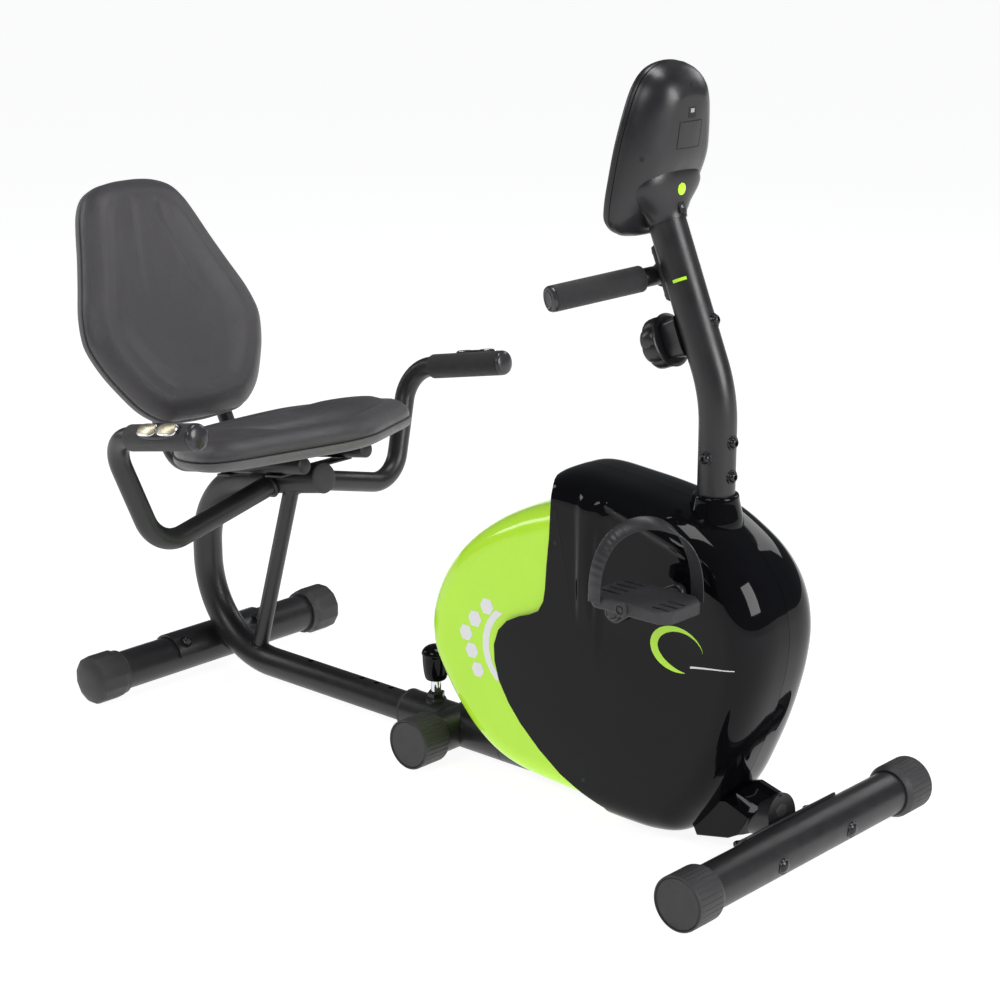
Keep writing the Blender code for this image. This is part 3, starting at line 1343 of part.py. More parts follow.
def pedal_body(sign, tip):
    """The slotted platform and its spindle, level under the foot."""
    x_low = tip.x - PEDAL_HALF_LENGTH
    x_high = tip.x + PEDAL_HALF_LENGTH
    inner = sign * PEDAL_IN_Y
    outer = sign * PEDAL_OUT_Y
    corners = [
        (x_low, inner + sign * 0.016),
        (x_low + 0.020, inner),
        (x_high - 0.020, inner),
        (x_high, inner + sign * 0.016),
        (x_high, outer - sign * 0.010),
        (x_high - 0.012, outer),
        (x_low + 0.012, outer),
        (x_low, outer - sign * 0.010),
    ]
    outline = rounded_polygon(corners, [0.010] * 4 + [0.006] * 4, 2)
    if sign > 0:
        outline = list(reversed(outline))
    top = tip.z + 0.012
    middle_level = Matrix.Translation((0.0, 0.0, top - PEDAL_THICKNESS / 2.0))
    body = plate(outline, PEDAL_THICKNESS, middle_level, 0.002)
    slots = []
    for start, end, rows in ((-0.056, -0.018, REAR_SLOT_Y), (0.018, 0.056, FRONT_SLOT_Y)):
        for y in rows:
            slot_low = (tip.x + start, sign * y - 0.0022, top - 0.05)
            slot_high = (tip.x + end, sign * y + 0.0022, top + 0.01)
            slots.append(box(slot_low, slot_high))
    body = cut(body, foot_strap(sign, tip, GAP), *slots)
    spindle_start = tip + Y_AXIS * (sign * (CRANK_PLANE_Y - 0.0060))
    spindle = cylinder(spindle_start, tip + Y_AXIS * (outer - sign * 0.006), SPINDLE_R, 16)
    return union(body, spindle)


STRAP_THICKNESS = 0.0025
STRAP_WIDTH = 0.015


def foot_strap(sign, tip, room=0.0):
    """The strap over the foot: an arch from the outer rear of the pedal to its inner front."""
    top = tip.z + 0.012
    rear = Vector((tip.x - 0.047, sign * (PEDAL_OUT_Y + 0.0025), top - 0.010))
    front = Vector((tip.x + 0.045, sign * (PEDAL_IN_Y - 0.0035), top - 0.006))
    span = front - rear
    half = span.length / 2.0
    rise = 0.102
    outer = []
    inner = []
    steps = 16
    for k in range(steps + 1):
        angle = math.pi * k / steps
        squash = abs(math.sin(angle)) ** 0.75
        along = -math.cos(angle)
        foot = room if k in (0, steps) else 0.0
        depth = STRAP_THICKNESS + room
        outer.append(((half + room) * along, (rise + room) * squash - foot))
        inner.append(((half - depth) * along, (rise - depth) * squash - foot))
    outline = outer + list(reversed(inner))
    flat = Vector((span.x, span.y, 0.0)).normalized()
    up = Vector((0.0, 0.0, 1.0))
    width_way = flat.cross(up)
    basis = Matrix((flat, up, width_way)).transposed().to_4x4()
    middle = (rear + front) / 2.0
    return plate(outline, STRAP_WIDTH + 2.0 * room, Matrix.Translation(middle) @ basis)


def build_cranks():
    for side, sign in (("right", -1.0), ("left", 1.0)):
        arm, tip = crank_arm(sign)
        finish(arm, f"crank_arm_{side}", "satin_black")
        set_origin(arm, (CRANK_X, sign * CRANK_PLANE_Y, CRANK_Z))
        pedal = finish(pedal_body(sign, tip), f"pedal_{side}", "pedal_grey")
        set_origin(pedal, tip)
        strap = finish(foot_strap(sign, tip), f"foot_strap_{side}", "matte_black")
        set_origin(strap, tip)


# ---------------------------------------------------------------- assembly
def build():
    build_stabilisers()
    build_main_frame()
    build_sleeve_liner()
    build_seat_frame()
    build_seat_tube_plug()
    build_handles()
    build_rails()
    build_back()
    build_seat()
    build_pull_pin()
    build_post()
    build_tension_knob()
    build_console_bar()
    build_console()
    build_casing()
    build_drive()
    build_cranks()


build()
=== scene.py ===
"""The looks of the recumbent exercise bike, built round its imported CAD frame."""

import json
import math

import bmesh
import bpy
from mathutils import Matrix, Vector

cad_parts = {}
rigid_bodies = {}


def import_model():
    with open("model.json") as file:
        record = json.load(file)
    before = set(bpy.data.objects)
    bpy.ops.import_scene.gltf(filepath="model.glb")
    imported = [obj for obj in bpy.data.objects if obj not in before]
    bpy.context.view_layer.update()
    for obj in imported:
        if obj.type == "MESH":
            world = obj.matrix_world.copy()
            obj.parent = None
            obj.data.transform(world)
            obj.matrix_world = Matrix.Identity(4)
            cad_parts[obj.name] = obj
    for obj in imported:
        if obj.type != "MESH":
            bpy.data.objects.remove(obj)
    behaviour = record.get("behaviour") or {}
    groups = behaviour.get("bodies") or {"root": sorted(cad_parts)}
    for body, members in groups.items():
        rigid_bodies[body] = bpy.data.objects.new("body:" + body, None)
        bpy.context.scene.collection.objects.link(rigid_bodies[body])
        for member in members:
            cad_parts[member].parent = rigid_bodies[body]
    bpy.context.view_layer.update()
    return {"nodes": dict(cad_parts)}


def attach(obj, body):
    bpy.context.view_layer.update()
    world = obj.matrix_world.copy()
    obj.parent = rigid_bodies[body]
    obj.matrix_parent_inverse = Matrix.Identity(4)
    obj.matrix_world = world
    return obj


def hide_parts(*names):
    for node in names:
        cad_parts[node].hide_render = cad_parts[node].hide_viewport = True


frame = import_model()
NODES = frame["nodes"]

GAP = 0.0003
FRONT_X = 0.6536
AXIS_Z = 0.037
REAR_X = FRONT_X - 1.152
Y_AXIS = Vector((0.0, 1.0, 0.0))
SIDES = (("right", -1.0), ("left", 1.0))


def P(u, y, z):
    """A point whose forward place is given from the front stabiliser's axis."""
    return Vector((FRONT_X + u, y, z))


SLEEVE_Z = 0.0365
SLIDE_R = 0.023
PIN_U = -0.653
MOUTH_U = -0.703      # the sleeve's open end
MIDDLE_U = -0.606     # the cross tube under the casing
POST_BASE_U = -0.1505
BEND_U = -0.215
SEAT_TUBE_TOP = P(-0.885, 0.0, 0.36)
SEAT_TUBE_SLOPE = 0.19


# ---------------------------------------------------------------- camera, light and floor
def add_camera():
    yaw = math.radians(42.108)
    pitch = math.radians(15.993)
    data = bpy.data.cameras.new("camera")
    data.lens = 84.42
    data.sensor_width = 36.0
    camera = bpy.data.objects.new("camera", data)
    camera.location = P(1.5938, -2.3455, 1.3007)
    camera.rotation_euler = (math.pi / 2.0 - pitch, 0.0, yaw)
    bpy.context.scene.collection.objects.link(camera)
    bpy.context.scene.camera = camera


def add_area(name, place, target, size, power):
    data = bpy.data.lights.new(name, "AREA")
    data.shape = "RECTANGLE"
    data.size, data.size_y = size
    data.energy = power
    light = bpy.data.objects.new(name, data)
    light.location = place
    aim = Vector(target) - Vector(place)
    light.rotation_euler = aim.to_track_quat("-Z", "Y").to_euler()
    bpy.context.scene.collection.objects.link(light)
    return light


def add_stage():
    mesh = bpy.data.meshes.new("floor")
    reach = 60.0
    mesh.from_pydata([(-reach, -reach, 0), (reach, -reach, 0), (reach, reach, 0), (-reach, reach, 0)], [],
                     [(0, 1, 2, 3)])
    floor = bpy.data.objects.new("floor", mesh)
    bpy.context.scene.collection.objects.link(floor)
    material = bpy.data.materials.new("floor_pale")
    material.use_nodes = True
    shader = material.node_tree.nodes["Principled BSDF"]
    shader.inputs["Base Color"].default_value = (0.3, 0.3, 0.3, 1.0)
    shader.inputs["Roughness"].default_value = 0.75
    shader.inputs["Specular IOR Level"].default_value = 0.2
    shader.inputs["Emission Color"].default_value = (1.0, 1.0, 1.0, 1.0)
    shader.inputs["Emission Strength"].default_value = 0.92
    floor.data.materials.append(material)

    world = bpy.data.worlds.new("studio")
    world.use_nodes = True
    bpy.context.scene.world = world
    background = world.node_tree.nodes["Background"]
    background.inputs["Color"].default_value = (0.88, 0.93, 1.0, 1.0)
    background.inputs["Strength"].default_value = 0.13

    target = (0.1, 0.0, 0.45)
    add_area("key", (0.3, -3.4, 3.0), target, (1.8, 1.0), 40.0)
    add_area("overhead", (0.2, 0.2, 3.4), target, (1.6, 0.9), 34.0)
    add_area("front_window", (3.6, 0.4, 1.9), target, (1.5, 1.8), 85.0)
    add_area("rear_window", (-3.2, -1.2, 2.0), target, (0.7, 1.6), 20.0)
    add_area("far_window", (0.4, 3.6, 2.4), target, (2.0, 1.0), 20.0)
    bpy.context.scene.view_settings.view_transform = "Standard"


# ---------------------------------------------------------------- materials
def principled(name):
    material = bpy.data.materials.new(name)
    material.use_nodes = True
    return material, material.node_tree, material.node_tree.nodes["Principled BSDF"]


def noise_node(tree, coordinates, scale, detail, roughness):
    texture = tree.nodes.new("ShaderNodeTexNoise")
    texture.inputs["Scale"].default_value = scale
    texture.inputs["Detail"].default_value = detail
    texture.inputs["Roughness"].default_value = roughness
    tree.links.new(coordinates, texture.inputs["Vector"])
    return texture.outputs["Fac"]


def ramp(tree, factor, low, high, from_low=0.3, from_high=0.7):
    node = tree.nodes.new("ShaderNodeMapRange")
    node.inputs["From Min"].default_value = from_low
    node.inputs["From Max"].default_value = from_high
    node.inputs["To Min"].default_value = low
    node.inputs["To Max"].default_value = high
    tree.links.new(factor, node.inputs["Value"])
    return node.outputs["Result"]


def mix_colour(tree, factor, first, second):
    node = tree.nodes.new("ShaderNodeMix")
    node.data_type = "RGBA"
    tree.links.new(factor, node.inputs[0])
    node.inputs[6].default_value = (*first, 1.0)
    node.inputs[7].default_value = (*second, 1.0)
    return node.outputs[2]


def bump(tree, height, strength, distance, below=None):
    node = tree.nodes.new("ShaderNodeBump")
    node.inputs["Strength"].default_value = strength
    node.inputs["Distance"].default_value = distance
    tree.links.new(height, node.inputs["Height"])
    if below is not None:
        tree.links.new(below, node.inputs["Normal"])
    return node.outputs["Normal"]


def shade(colour, amount):
    return tuple(min(1.0, c * amount) for c in colour)


def painted(tree, shader, where, colour, mottle, roughness, spread, scales):
    """Mottled colour and patchy roughness, at the two scales given."""
    patches = noise_node(tree, where, scales[0], 4.0, 0.6)
    tree.links.new(mix_colour(tree, ramp(tree, patches, 0.0, 1.0), shade(colour, 1.0 - mottle),
                              shade(colour, 1.0 + mottle)), shader.inputs["Base Color"])
    rough = noise_node(tree, where, scales[1], 3.0, 0.6)
    tree.links.new(ramp(tree, rough, max(0.02, roughness - spread), roughness + spread),
                   shader.inputs["Roughness"])


def coated(name, colour, roughness, grain, grain_depth, strength, mottle, metallic=0.0, rough_spread=0.06,
           specular=0.5):
    """A painted, plated or moulded surface with a fine grain."""
    material, tree, shader = principled(name)
    where = tree.nodes.new("ShaderNodeTexCoord").outputs["Object"]
    painted(tree, shader, where, colour, mottle, roughness, rough_spread, (9.0, 36.0))
    fine = noise_node(tree, where, grain, 2.0, 0.6)
    tree.links.new(bump(tree, fine, strength, grain_depth), shader.inputs["Normal"])
    shader.inputs["Metallic"].default_value = metallic
    shader.inputs["Specular IOR Level"].default_value = specular
    return material


def cellular(name, colour, roughness, scale, depth, strength, mottle, specular=0.5, sheen=0.0):
    """A moulded surface with a pebbled or leather-like grain of small cells."""
    material, tree, shader = principled(name)
    where = tree.nodes.new("ShaderNodeTexCoord").outputs["Object"]
    painted(tree, shader, where, colour, mottle, roughness, 0.05, (14.0, 45.0))
    cells = tree.nodes.new("ShaderNodeTexVoronoi")
    cells.feature = "DISTANCE_TO_EDGE"
    cells.inputs["Scale"].default_value = scale
    tree.links.new(where, cells.inputs["Vector"])
    edge = ramp(tree, cells.outputs["Distance"], 0.0, 1.0, 0.0, 0.25)
    normal = bump(tree, edge, strength, depth)
    soft = noise_node(tree, where, scale * 0.35, 2.0, 0.5)
    tree.links.new(bump(tree, soft, 0.3, depth * 2.0, normal), shader.inputs["Normal"])
    shader.inputs["Specular IOR Level"].default_value = specular
    shader.inputs["Sheen Weight"].default_value = sheen
    return material


COATED = {     # colour, roughness, grain, grain_depth, strength, mottle, metallic, rough_spread, specular
    "powder_black": ((0.0145, 0.014, 0.0155), 0.36, 650.0, 0.0003, 0.3, 0.15, 0.0, 0.05),
    "gloss_black": ((0.0035, 0.0035, 0.0045), 0.045, 30.0, 0.0008, 0.04, 0.2, 0.0, 0.02, 0.17),
    "gloss_green": ((0.56, 0.98, 0.05), 0.16, 26.0, 0.0008, 0.04, 0.03, 0.0, 0.04, 0.45),
    "satin_black": ((0.0135, 0.013, 0.015), 0.34, 900.0, 0.00015, 0.25, 0.12, 0.0, 0.05),
    "grip_plug": ((0.035, 0.034, 0.038), 0.22, 300.0, 0.0002, 0.15, 0.1),
    "strap_black": ((0.024, 0.024, 0.027), 0.38, 500.0, 0.0004, 0.4, 0.15),
    "zinc": ((0.55, 0.56, 0.58), 0.28, 500.0, 0.0002, 0.3, 0.12, 1.0),
    "bolt_black": ((0.03, 0.03, 0.033), 0.24, 500.0, 0.0003, 0.3, 0.2, 0.6),
    "chrome": ((0.72, 0.74, 0.77), 0.1, 200.0, 0.0001, 0.1, 0.06, 1.0, 0.03),
    "sensor_metal": ((0.4, 0.36, 0.26), 0.3, 300.0, 0.0001, 0.2, 0.1, 1.0),
    "sensor_rim": ((0.75, 0.76, 0.78), 0.16, 300.0, 0.0001, 0.2, 0.06, 1.0),
    "cast_iron": ((0.1, 0.1, 0.11), 0.45, 300.0, 0.0005, 0.5, 0.2, 0.9),
    "display_glass": ((0.035, 0.045, 0.038), 0.06, 200.0, 0.0001, 0.05, 0.05),
    "belt_rubber": ((0.014, 0.014, 0.015), 0.7, 500.0, 0.0003, 0.4, 0.1),
    "white_print": ((0.86, 0.87, 0.86), 0.18, 200.0, 0.0001, 0.1, 0.02),
    "green_print": ((0.54, 0.96, 0.04), 0.18, 200.0, 0.0001, 0.1, 0.03),
    # painted shade: near-black stand-ins for holes, slots, a socket opening and the door seam, which are not
    # cut into the shells
    "painted_recess_shade": ((0.002, 0.002, 0.002), 0.6, 300.0, 0.0002, 0.2, 0.1),
    "button_grey": ((0.2, 0.2, 0.21), 0.4, 600.0, 0.0002, 0.3, 0.08),
}
CELLULAR = {     # colour, roughness, scale, depth, strength, mottle, specular, sheen
    "matte_black": ((0.03, 0.029, 0.031), 0.52, 900.0, 0.0002, 0.35, 0.12),
    "cap_face": ((0.04, 0.039, 0.042), 0.6, 1100.0, 0.0002, 0.5, 0.1),
    "grip_foam": ((0.024, 0.023, 0.025), 0.78, 620.0, 0.0005, 0.55, 0.15, 0.35, 0.15),
    "pad_foam": ((0.046, 0.042, 0.046), 0.42, 430.0, 0.0006, 0.3, 0.06, 0.6, 0.08),
    "shell_grey": ((0.125, 0.122, 0.125), 0.5, 700.0, 0.0003, 0.4, 0.1),
    "pedal_grey": ((0.032, 0.031, 0.034), 0.46, 520.0, 0.0006, 0.7, 0.15),
}


def make_materials():
    mats = {name: coated(name, *values) for name, values in COATED.items()}
    mats.update({name: cellular(name, *values) for name, values in CELLULAR.items()})
    return mats


# ---------------------------------------------------------------- mesh makers
def link(obj):
    bpy.context.scene.collection.objects.link(obj)
    return obj


def smooth(mesh, angle):
    mesh.shade_smooth()
    mesh.set_sharp_from_angle(angle=math.radians(angle))


def turns(count):
    """Evenly spaced angles round a circle."""
    return [2.0 * math.pi * k / count for k in range(count)]


def grid_faces(rows, count, closed=True):
    """Quads between rows of points."""
    faces = []
    for r in range(rows - 1):
        for i in range(count if closed else count - 1):
            j = (i + 1) % count
            faces.append((r * count + i, r * count + j, (r + 1) * count + j, (r + 1) * count + i))
    return faces


def axes_matrix(origin, first, second, third):
    return Matrix.Translation(origin) @ Matrix((first, second, third)).transposed().to_4x4()


def mesh_object(name, verts, faces, angle=38.0):
    mesh = bpy.data.meshes.new(name)
    mesh.from_pydata([tuple(v) for v in verts], [], faces)
    bm = bmesh.new()
    bm.from_mesh(mesh)
    bmesh.ops.remove_doubles(bm, verts=bm.verts, dist=0.000005)
    bmesh.ops.recalc_face_normals(bm, faces=bm.faces)
    bm.to_mesh(mesh)
    bm.free()
    smooth(mesh, angle)
    return link(bpy.data.objects.new(name, mesh))


def basis_for(direction):
    return Vector((0.0, 0.0, 1.0)).rotation_difference(Vector(direction).normalized()).to_matrix().to_4x4()


def lathe(name, profile, origin, direction, steps=64, angle=38.0, radius_at=None):
    """A turned closed form: (radius, height) points; a profile off the axis closes on itself."""
    closed = profile[0][0] > 1e-9
    matrix = Matrix.Translation(Vector(origin)) @ basis_for(direction)
    verts, faces = [], []
    count = len(profile)
    for turn in turns(steps):
        for i, (radius, height) in enumerate(profile):
            r = radius if radius_at is None else radius_at(i, turn, radius)
            verts.append(matrix @ Vector((r * math.cos(turn), r * math.sin(turn), height)))
    span = count if closed else count - 1
    for k in range(steps):
        j = (k + 1) % steps
        for i in range(span):
            n = (i + 1) % count
            faces.append((k * count + i, k * count + n, j * count + n, j * count + i))
    obj = mesh_object(name, verts, faces, angle)
    tidy_faces(obj, angle)
    return obj


def upright(name, profile, u, steps, angle=38.0):
    """A turned form that stands on a vertical line through the middle of the bike."""
    return lathe(name, profile, P(u, 0.0, 0.0), (0.0, 0.0, 1.0), steps, angle)


def tidy_faces(obj, angle):
    """Remove faces that collapsed on a turned form's axis."""
    bm = bmesh.new()
    bm.from_mesh(obj.data)
    bmesh.ops.dissolve_degenerate(bm, dist=0.000002, edges=bm.edges)
    bmesh.ops.recalc_face_normals(bm, faces=bm.faces)
    bm.to_mesh(obj.data)
    bm.free()
    smooth(obj.data, angle)


def sweep(name, path, radius, sides=40, edge=0.0):
    """A round bar along a path with closed, lightly rounded ends."""
    points = [Vector(p) for p in path]
    radii = [radius] * len(points)
    if edge > 0.0:
        first = (points[1] - points[0]).normalized()
        last = (points[-1] - points[-2]).normalized()
        points = ([points[0], points[0] + first * edge * 0.3, points[0] + first * edge] + points[1:-1]
                  + [points[-1] - last * edge, points[-1] - last * edge * 0.3, points[-1]])
        radii = [radius - edge, radius - edge * 0.3, radius] + radii[1:-1] + [radius, radius - edge * 0.3,
                                                                              radius - edge]
    tangents = []
    for i in range(len(points)):
        before = points[max(i - 1, 0)]
        after = points[min(i + 1, len(points) - 1)]
        tangents.append((after - before).normalized())
    side = tangents[0].orthogonal().normalized()
    rings = []
    for i, point in enumerate(points):
        if i:
            side = tangents[i - 1].rotation_difference(tangents[i]) @ side
        other = tangents[i].cross(side)
        rings.append([point + (side * math.cos(turn) + other * math.sin(turn)) * radii[i]
                      for turn in turns(sides)])
    return loft(name, rings)


def loft(name, rings, angle=38.0):
    count = len(rings[0])
    verts = [point for ring in rings for point in ring]
    faces = grid_faces(len(rings), count)
    faces.append(tuple(reversed(range(count))))
    faces.append(tuple(range((len(rings) - 1) * count, len(rings) * count)))
    return mesh_object(name, verts, faces, angle)


def rounded_path(corners, radii, steps=14):
    points = [Vector(c) for c in corners]
    path = [points[0]]
    for i in range(1, len(points) - 1):
        incoming = (points[i] - points[i - 1]).normalized()
        outgoing = (points[i + 1] - points[i]).normalized()
        turn = incoming.angle(outgoing)
        radius = radii[i - 1]
        inward = (outgoing - incoming).normalized()
        centre = points[i] + inward * (radius / math.cos(turn / 2.0))
        first = points[i] - incoming * (radius * math.tan(turn / 2.0))
        axis = incoming.cross(outgoing).normalized()
        for k in range(steps + 1):
            path.append(centre + Matrix.Rotation(turn * k / steps, 3, axis) @ (first - centre))
    path.append(points[-1])
    return path


def arc(centre, radius, start, end, count):
    return [(centre[0] + radius * math.cos(start + (end - start) * i / (count - 1)),
             centre[1] + radius * math.sin(start + (end - start) * i / (count - 1))) for i in range(count)]


def slab(name, outline, thickness, matrix, bevel=0.0, segments=3):
    """A flat outline with a thickness, centred on local Z = 0, with rounded edges."""
    count = len(outline)
    half = thickness / 2.0
    verts = [matrix @ Vector((x, y, -half)) for x, y in outline]
    verts += [matrix @ Vector((x, y, half)) for x, y in outline]
    faces = [tuple(reversed(range(count))), tuple(range(count, 2 * count))]
    faces += [(i, (i + 1) % count, count + (i + 1) % count, count + i) for i in range(count)]
    obj = mesh_object(name, verts, faces)
    if bevel > 0.0:
        round_edges(obj, bevel, segments)
    return obj


def side_matrix(y):
    return Matrix.Translation((0.0, y, 0.0)) @ Matrix.Rotation(math.pi / 2.0, 4, "X")


def round_edges(obj, width, segments=3):
    modifier = obj.modifiers.new("edges", "BEVEL")
    modifier.width = width
    modifier.segments = segments
    modifier.limit_method = "ANGLE"
    modifier.angle_limit = math.radians(40.0)
    return obj


def box(name, low, high, bevel=0.001, matrix=None):
    low, high = Vector(low), Vector(high)
    outline = [(low.x, low.y), (high.x, low.y), (high.x, high.y), (low.x, high.y)]
    lift = Matrix.Translation((0.0, 0.0, (low.z + high.z) / 2.0))
    whole = lift if matrix is None else matrix @ lift
    return slab(name, outline, high.z - low.z, whole, bevel)


def baked(obj, angle=38.0):
    """Apply an object's modifiers."""
    bpy.context.view_layer.update()
    mesh = bpy.data.meshes.new_from_object(obj.evaluated_get(bpy.context.evaluated_depsgraph_get()))
    obj.modifiers.clear()
    obj.data = mesh
    smooth(mesh, angle)
    return obj


def cut(obj, other, angle=38.0):
    """Take one piece's volume out of another."""
    modifier = obj.modifiers.new("cut", "BOOLEAN")
    modifier.operation = "DIFFERENCE"
    modifier.solver = "EXACT"
    modifier.object = other
    baked(obj, angle)
    bpy.data.objects.remove(other, do_unlink=True)
    return obj


def merged(name, objects):
    """Join several pieces' meshes into one object."""
    bm = bmesh.new()
    for obj in objects:
        baked(obj)
        bm.from_mesh(obj.data)
    mesh = bpy.data.meshes.new(name)
    bm.to_mesh(mesh)
    bm.free()
    for obj in objects:
        bpy.data.objects.remove(obj, do_unlink=True)
    mesh.set_sharp_from_angle(angle=math.radians(38.0))
    return link(bpy.data.objects.new(name, mesh))


def mirror_copy(obj, name):
    copy = obj.copy()
    copy.data = obj.data.copy()
    copy.name = name
    link(copy)
    bm = bmesh.new()
    bm.from_mesh(copy.data)
    bmesh.ops.scale(bm, vec=(1.0, -1.0, 1.0), verts=bm.verts)
    bmesh.ops.reverse_faces(bm, faces=bm.faces)
    bm.to_mesh(copy.data)
    bm.free()
    return copy


def smooth_closed(points, count):
    """Evenly spaced points on a smooth closed curve through a few given points."""
    dense = []
    total = len(points)
    for i in range(total):
        p0, p1, p2, p3 = (Vector(points[(i + k) % total]) for k in (-1, 0, 1, 2))
        for s in range(16):
            t = s / 16.0
            dense.append(0.5 * ((2 * p1) + (p2 - p0) * t + (2 * p0 - 5 * p1 + 4 * p2 - p3) * t * t
                                + (3 * p1 - p0 - 3 * p2 + p3) * t * t * t))
    lengths = [0.0]
    for a, b in zip(dense, dense[1:] + dense[:1]):
        lengths.append(lengths[-1] + (b - a).length)
    ring, place = [], 0
    for i in range(count):
        target = lengths[-1] * i / count
        while lengths[place + 1] < target:
            place += 1
        share = (target - lengths[place]) / (lengths[place + 1] - lengths[place])
        here = dense[place].lerp(dense[(place + 1) % len(dense)], share)
        ring.append((here.x, here.y))
    return ring


def inset(outline, distance):
    count = len(outline)
    area = sum(outline[i][0] * outline[(i + 1) % count][1] - outline[(i + 1) % count][0] * outline[i][1]
               for i in range(count))
    side = 1.0 if area > 0.0 else -1.0
    moved = []
    for i in range(count):
        along = (Vector(outline[(i + 1) % count]) - Vector(outline[i - 1])).normalized()
        moved.append((outline[i][0] - side * along.y * distance, outline[i][1] + side * along.x * distance))
    return moved


def step(edge0, edge1, x):
    t = max(0.0, min(1.0, (x - edge0) / (edge1 - edge0)))
    return t * t * (3.0 - 2.0 * t)


def bell(x, centre, width):
    return math.exp(-((x - centre) / width) ** 2)


# ---------------------------------------------------------------- placing pieces
MATS = {}


def place(obj, body, slot, paint=None, nodes=()):
    """Give a piece its material, named by the paint or else by the slot, and its body, and hide the CAD
    nodes that it stands for.
    """
    obj.data.materials.clear()
    obj.data.materials.append(MATS[paint or slot])
    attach(obj, body)
    if nodes:
        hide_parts(*nodes)
    return obj


def paint_node(name, paint):
    node = NODES[name]
    node.data.materials.clear()
    node.data.materials.append(MATS[paint])


# ---------------------------------------------------------------- stabilisers and caps
CAP_R = 0.037
CAP_LENGTH = 0.055
FRONT_HALF = 0.26
REAR_HALF = 0.255


def ribbed_cap(name, sign, x, half_width):
    """A cup cap with fine ribs along its wall, a chamfered mouth and a flat face inside a thin rim."""
    bore = 0.0303
    profile = [(0.0, CAP_LENGTH - 0.0012), (CAP_R - 0.0042, CAP_LENGTH - 0.0012),
               (CAP_R - 0.0034, CAP_LENGTH - 0.002), (CAP_R - 0.0028, CAP_LENGTH - 0.0012),
               (CAP_R - 0.0022, CAP_LENGTH - 0.0001), (CAP_R - 0.0012, CAP_LENGTH),
               (CAP_R - 0.0003, CAP_LENGTH - 0.0008), (CAP_R, CAP_LENGTH - 0.0024),
               (CAP_R, CAP_LENGTH - 0.005), (CAP_R, 0.009), (CAP_R - 0.0004, 0.0078),
               (CAP_R - 0.004, 0.0006), (CAP_R - 0.0046, 0.0), (bore, 0.0), (bore, CAP_LENGTH - 0.007),
               (0.0, CAP_LENGTH - 0.007),]
    ribs = 30

    def rib(index, turn, radius):
        if index not in (8, 9):
            return radius
        phase = (turn * ribs / (2.0 * math.pi)) % 1.0
        return radius - 0.0007 * (1.0 - step(0.0, 0.16, min(phase, 1.0 - phase)))

    start = Vector((x, sign * (half_width - CAP_LENGTH), AXIS_Z))
    return lathe(name, profile, start, (0.0, sign, 0.0), 240, 30.0, rib)


def faceted_cap(name, sign):
    """The twelve-sided rear cap with a domed face and a round collar."""
    sides = 12
    steps = sides * 14
    half = math.pi / sides

    def facet(turn, radius, blend):
        local = (turn % (2.0 * half)) - half
        flat = radius / math.cos(local)
        corner = radius / math.cos(half) * 0.992
        return min(flat, corner) * blend + radius * (1.0 - blend)

    profile = [(0.0, CAP_LENGTH, 0.0), (0.014, CAP_LENGTH - 0.0004, 0.0), (0.024, CAP_LENGTH - 0.0018, 0.0),
               (0.029, CAP_LENGTH - 0.0038, 0.0), (0.0315, CAP_LENGTH - 0.0052, 0.2),
               (0.0345, CAP_LENGTH - 0.0068, 0.8), (0.0362, CAP_LENGTH - 0.0092, 1.0),
               (CAP_R, CAP_LENGTH - 0.013, 1.0), (CAP_R, 0.007, 1.0), (CAP_R - 0.0006, 0.0045, 1.0),
               (0.0346, 0.0, 0.3), (0.0346, -0.006, 0.0), (0.0303, -0.006, 0.0),
               (0.0303, CAP_LENGTH - 0.012, 0.0), (0.0, CAP_LENGTH - 0.012, 0.0),]
    start = Vector((REAR_X, sign * (REAR_HALF - CAP_LENGTH), AXIS_Z))

    def radius_at(index, turn, radius):
        return facet(turn + half, radius, profile[index][2]) if radius > 0.0 else 0.0

    return lathe(name, [(r, h) for r, h, _ in profile], start, (0.0, sign, 0.0), steps, 24.0, radius_at)


def curved_plate(name, x, start, end, half_length):
    """The thick curved plate that holds a stabiliser."""
    outline = arc((x, AXIS_Z), 0.0343, start, end, 40)
    outline += arc((x, AXIS_Z), 0.0303, end, start, 40)
    return slab(name, outline, 2.0 * half_length, side_matrix(0.0), 0.0006, 2)


def dome_bolt(name, x, y, angle, distance):
    """A domed bolt head on its washer, on the outside of a round tube."""
    way = Vector((math.cos(angle), 0.0, math.sin(angle)))
    start = Vector((x, y, AXIS_Z)) + way * distance
    washer = lathe(name + "_washer", [(0.0, 0.0012), (0.0112, 0.001), (0.0116, -0.0012), (0.0, -0.0012)],
                   start, way, 36)
    profile = [(0.0, 0.005), (0.00308, 0.00475), (0.00616, 0.0035), (0.00836, 0.0015), (0.0088, 0.001),
               (0.0, 0.001)]
    head = lathe(name + "_head", profile, start, way, 36)
    return merged(name, [washer, head])


def cap_nut(name, x, y, angle, distance):
    """A hexagonal domed nut on a washer."""
    way = Vector((math.cos(angle), 0.0, math.sin(angle)))
    start = Vector((x, y, AXIS_Z)) + way * distance
    washer = lathe(name + "_w", [(0.0, 0.0014), (0.0098, 0.0014), (0.01, -0.001), (0.0, -0.001)], start,
                   way, 36)
    hexagon = lathe(name + "_h", [(0.0, 0.0062), (0.0062, 0.0062), (0.0074, 0.005), (0.0074, 0.0014),
                                  (0.0, 0.0014)], start, way, 6, 20.0)
    dome = lathe(name + "_d", [(0.0, 0.0118), (0.0028, 0.0112), (0.0048, 0.009), (0.0054, 0.006),
                               (0.0, 0.006)], start, way, 32)
    return merged(name, [washer, hexagon, dome])


def stabiliser(name, x, half_width):
    reach = half_width - 0.0075
    profile = [(0.03, reach), (0.03, -reach), (0.0278, -reach), (0.0278, reach)]
    return lathe(name, profile, (x, 0.0, AXIS_Z), (0.0, 1.0, 0.0), 64)


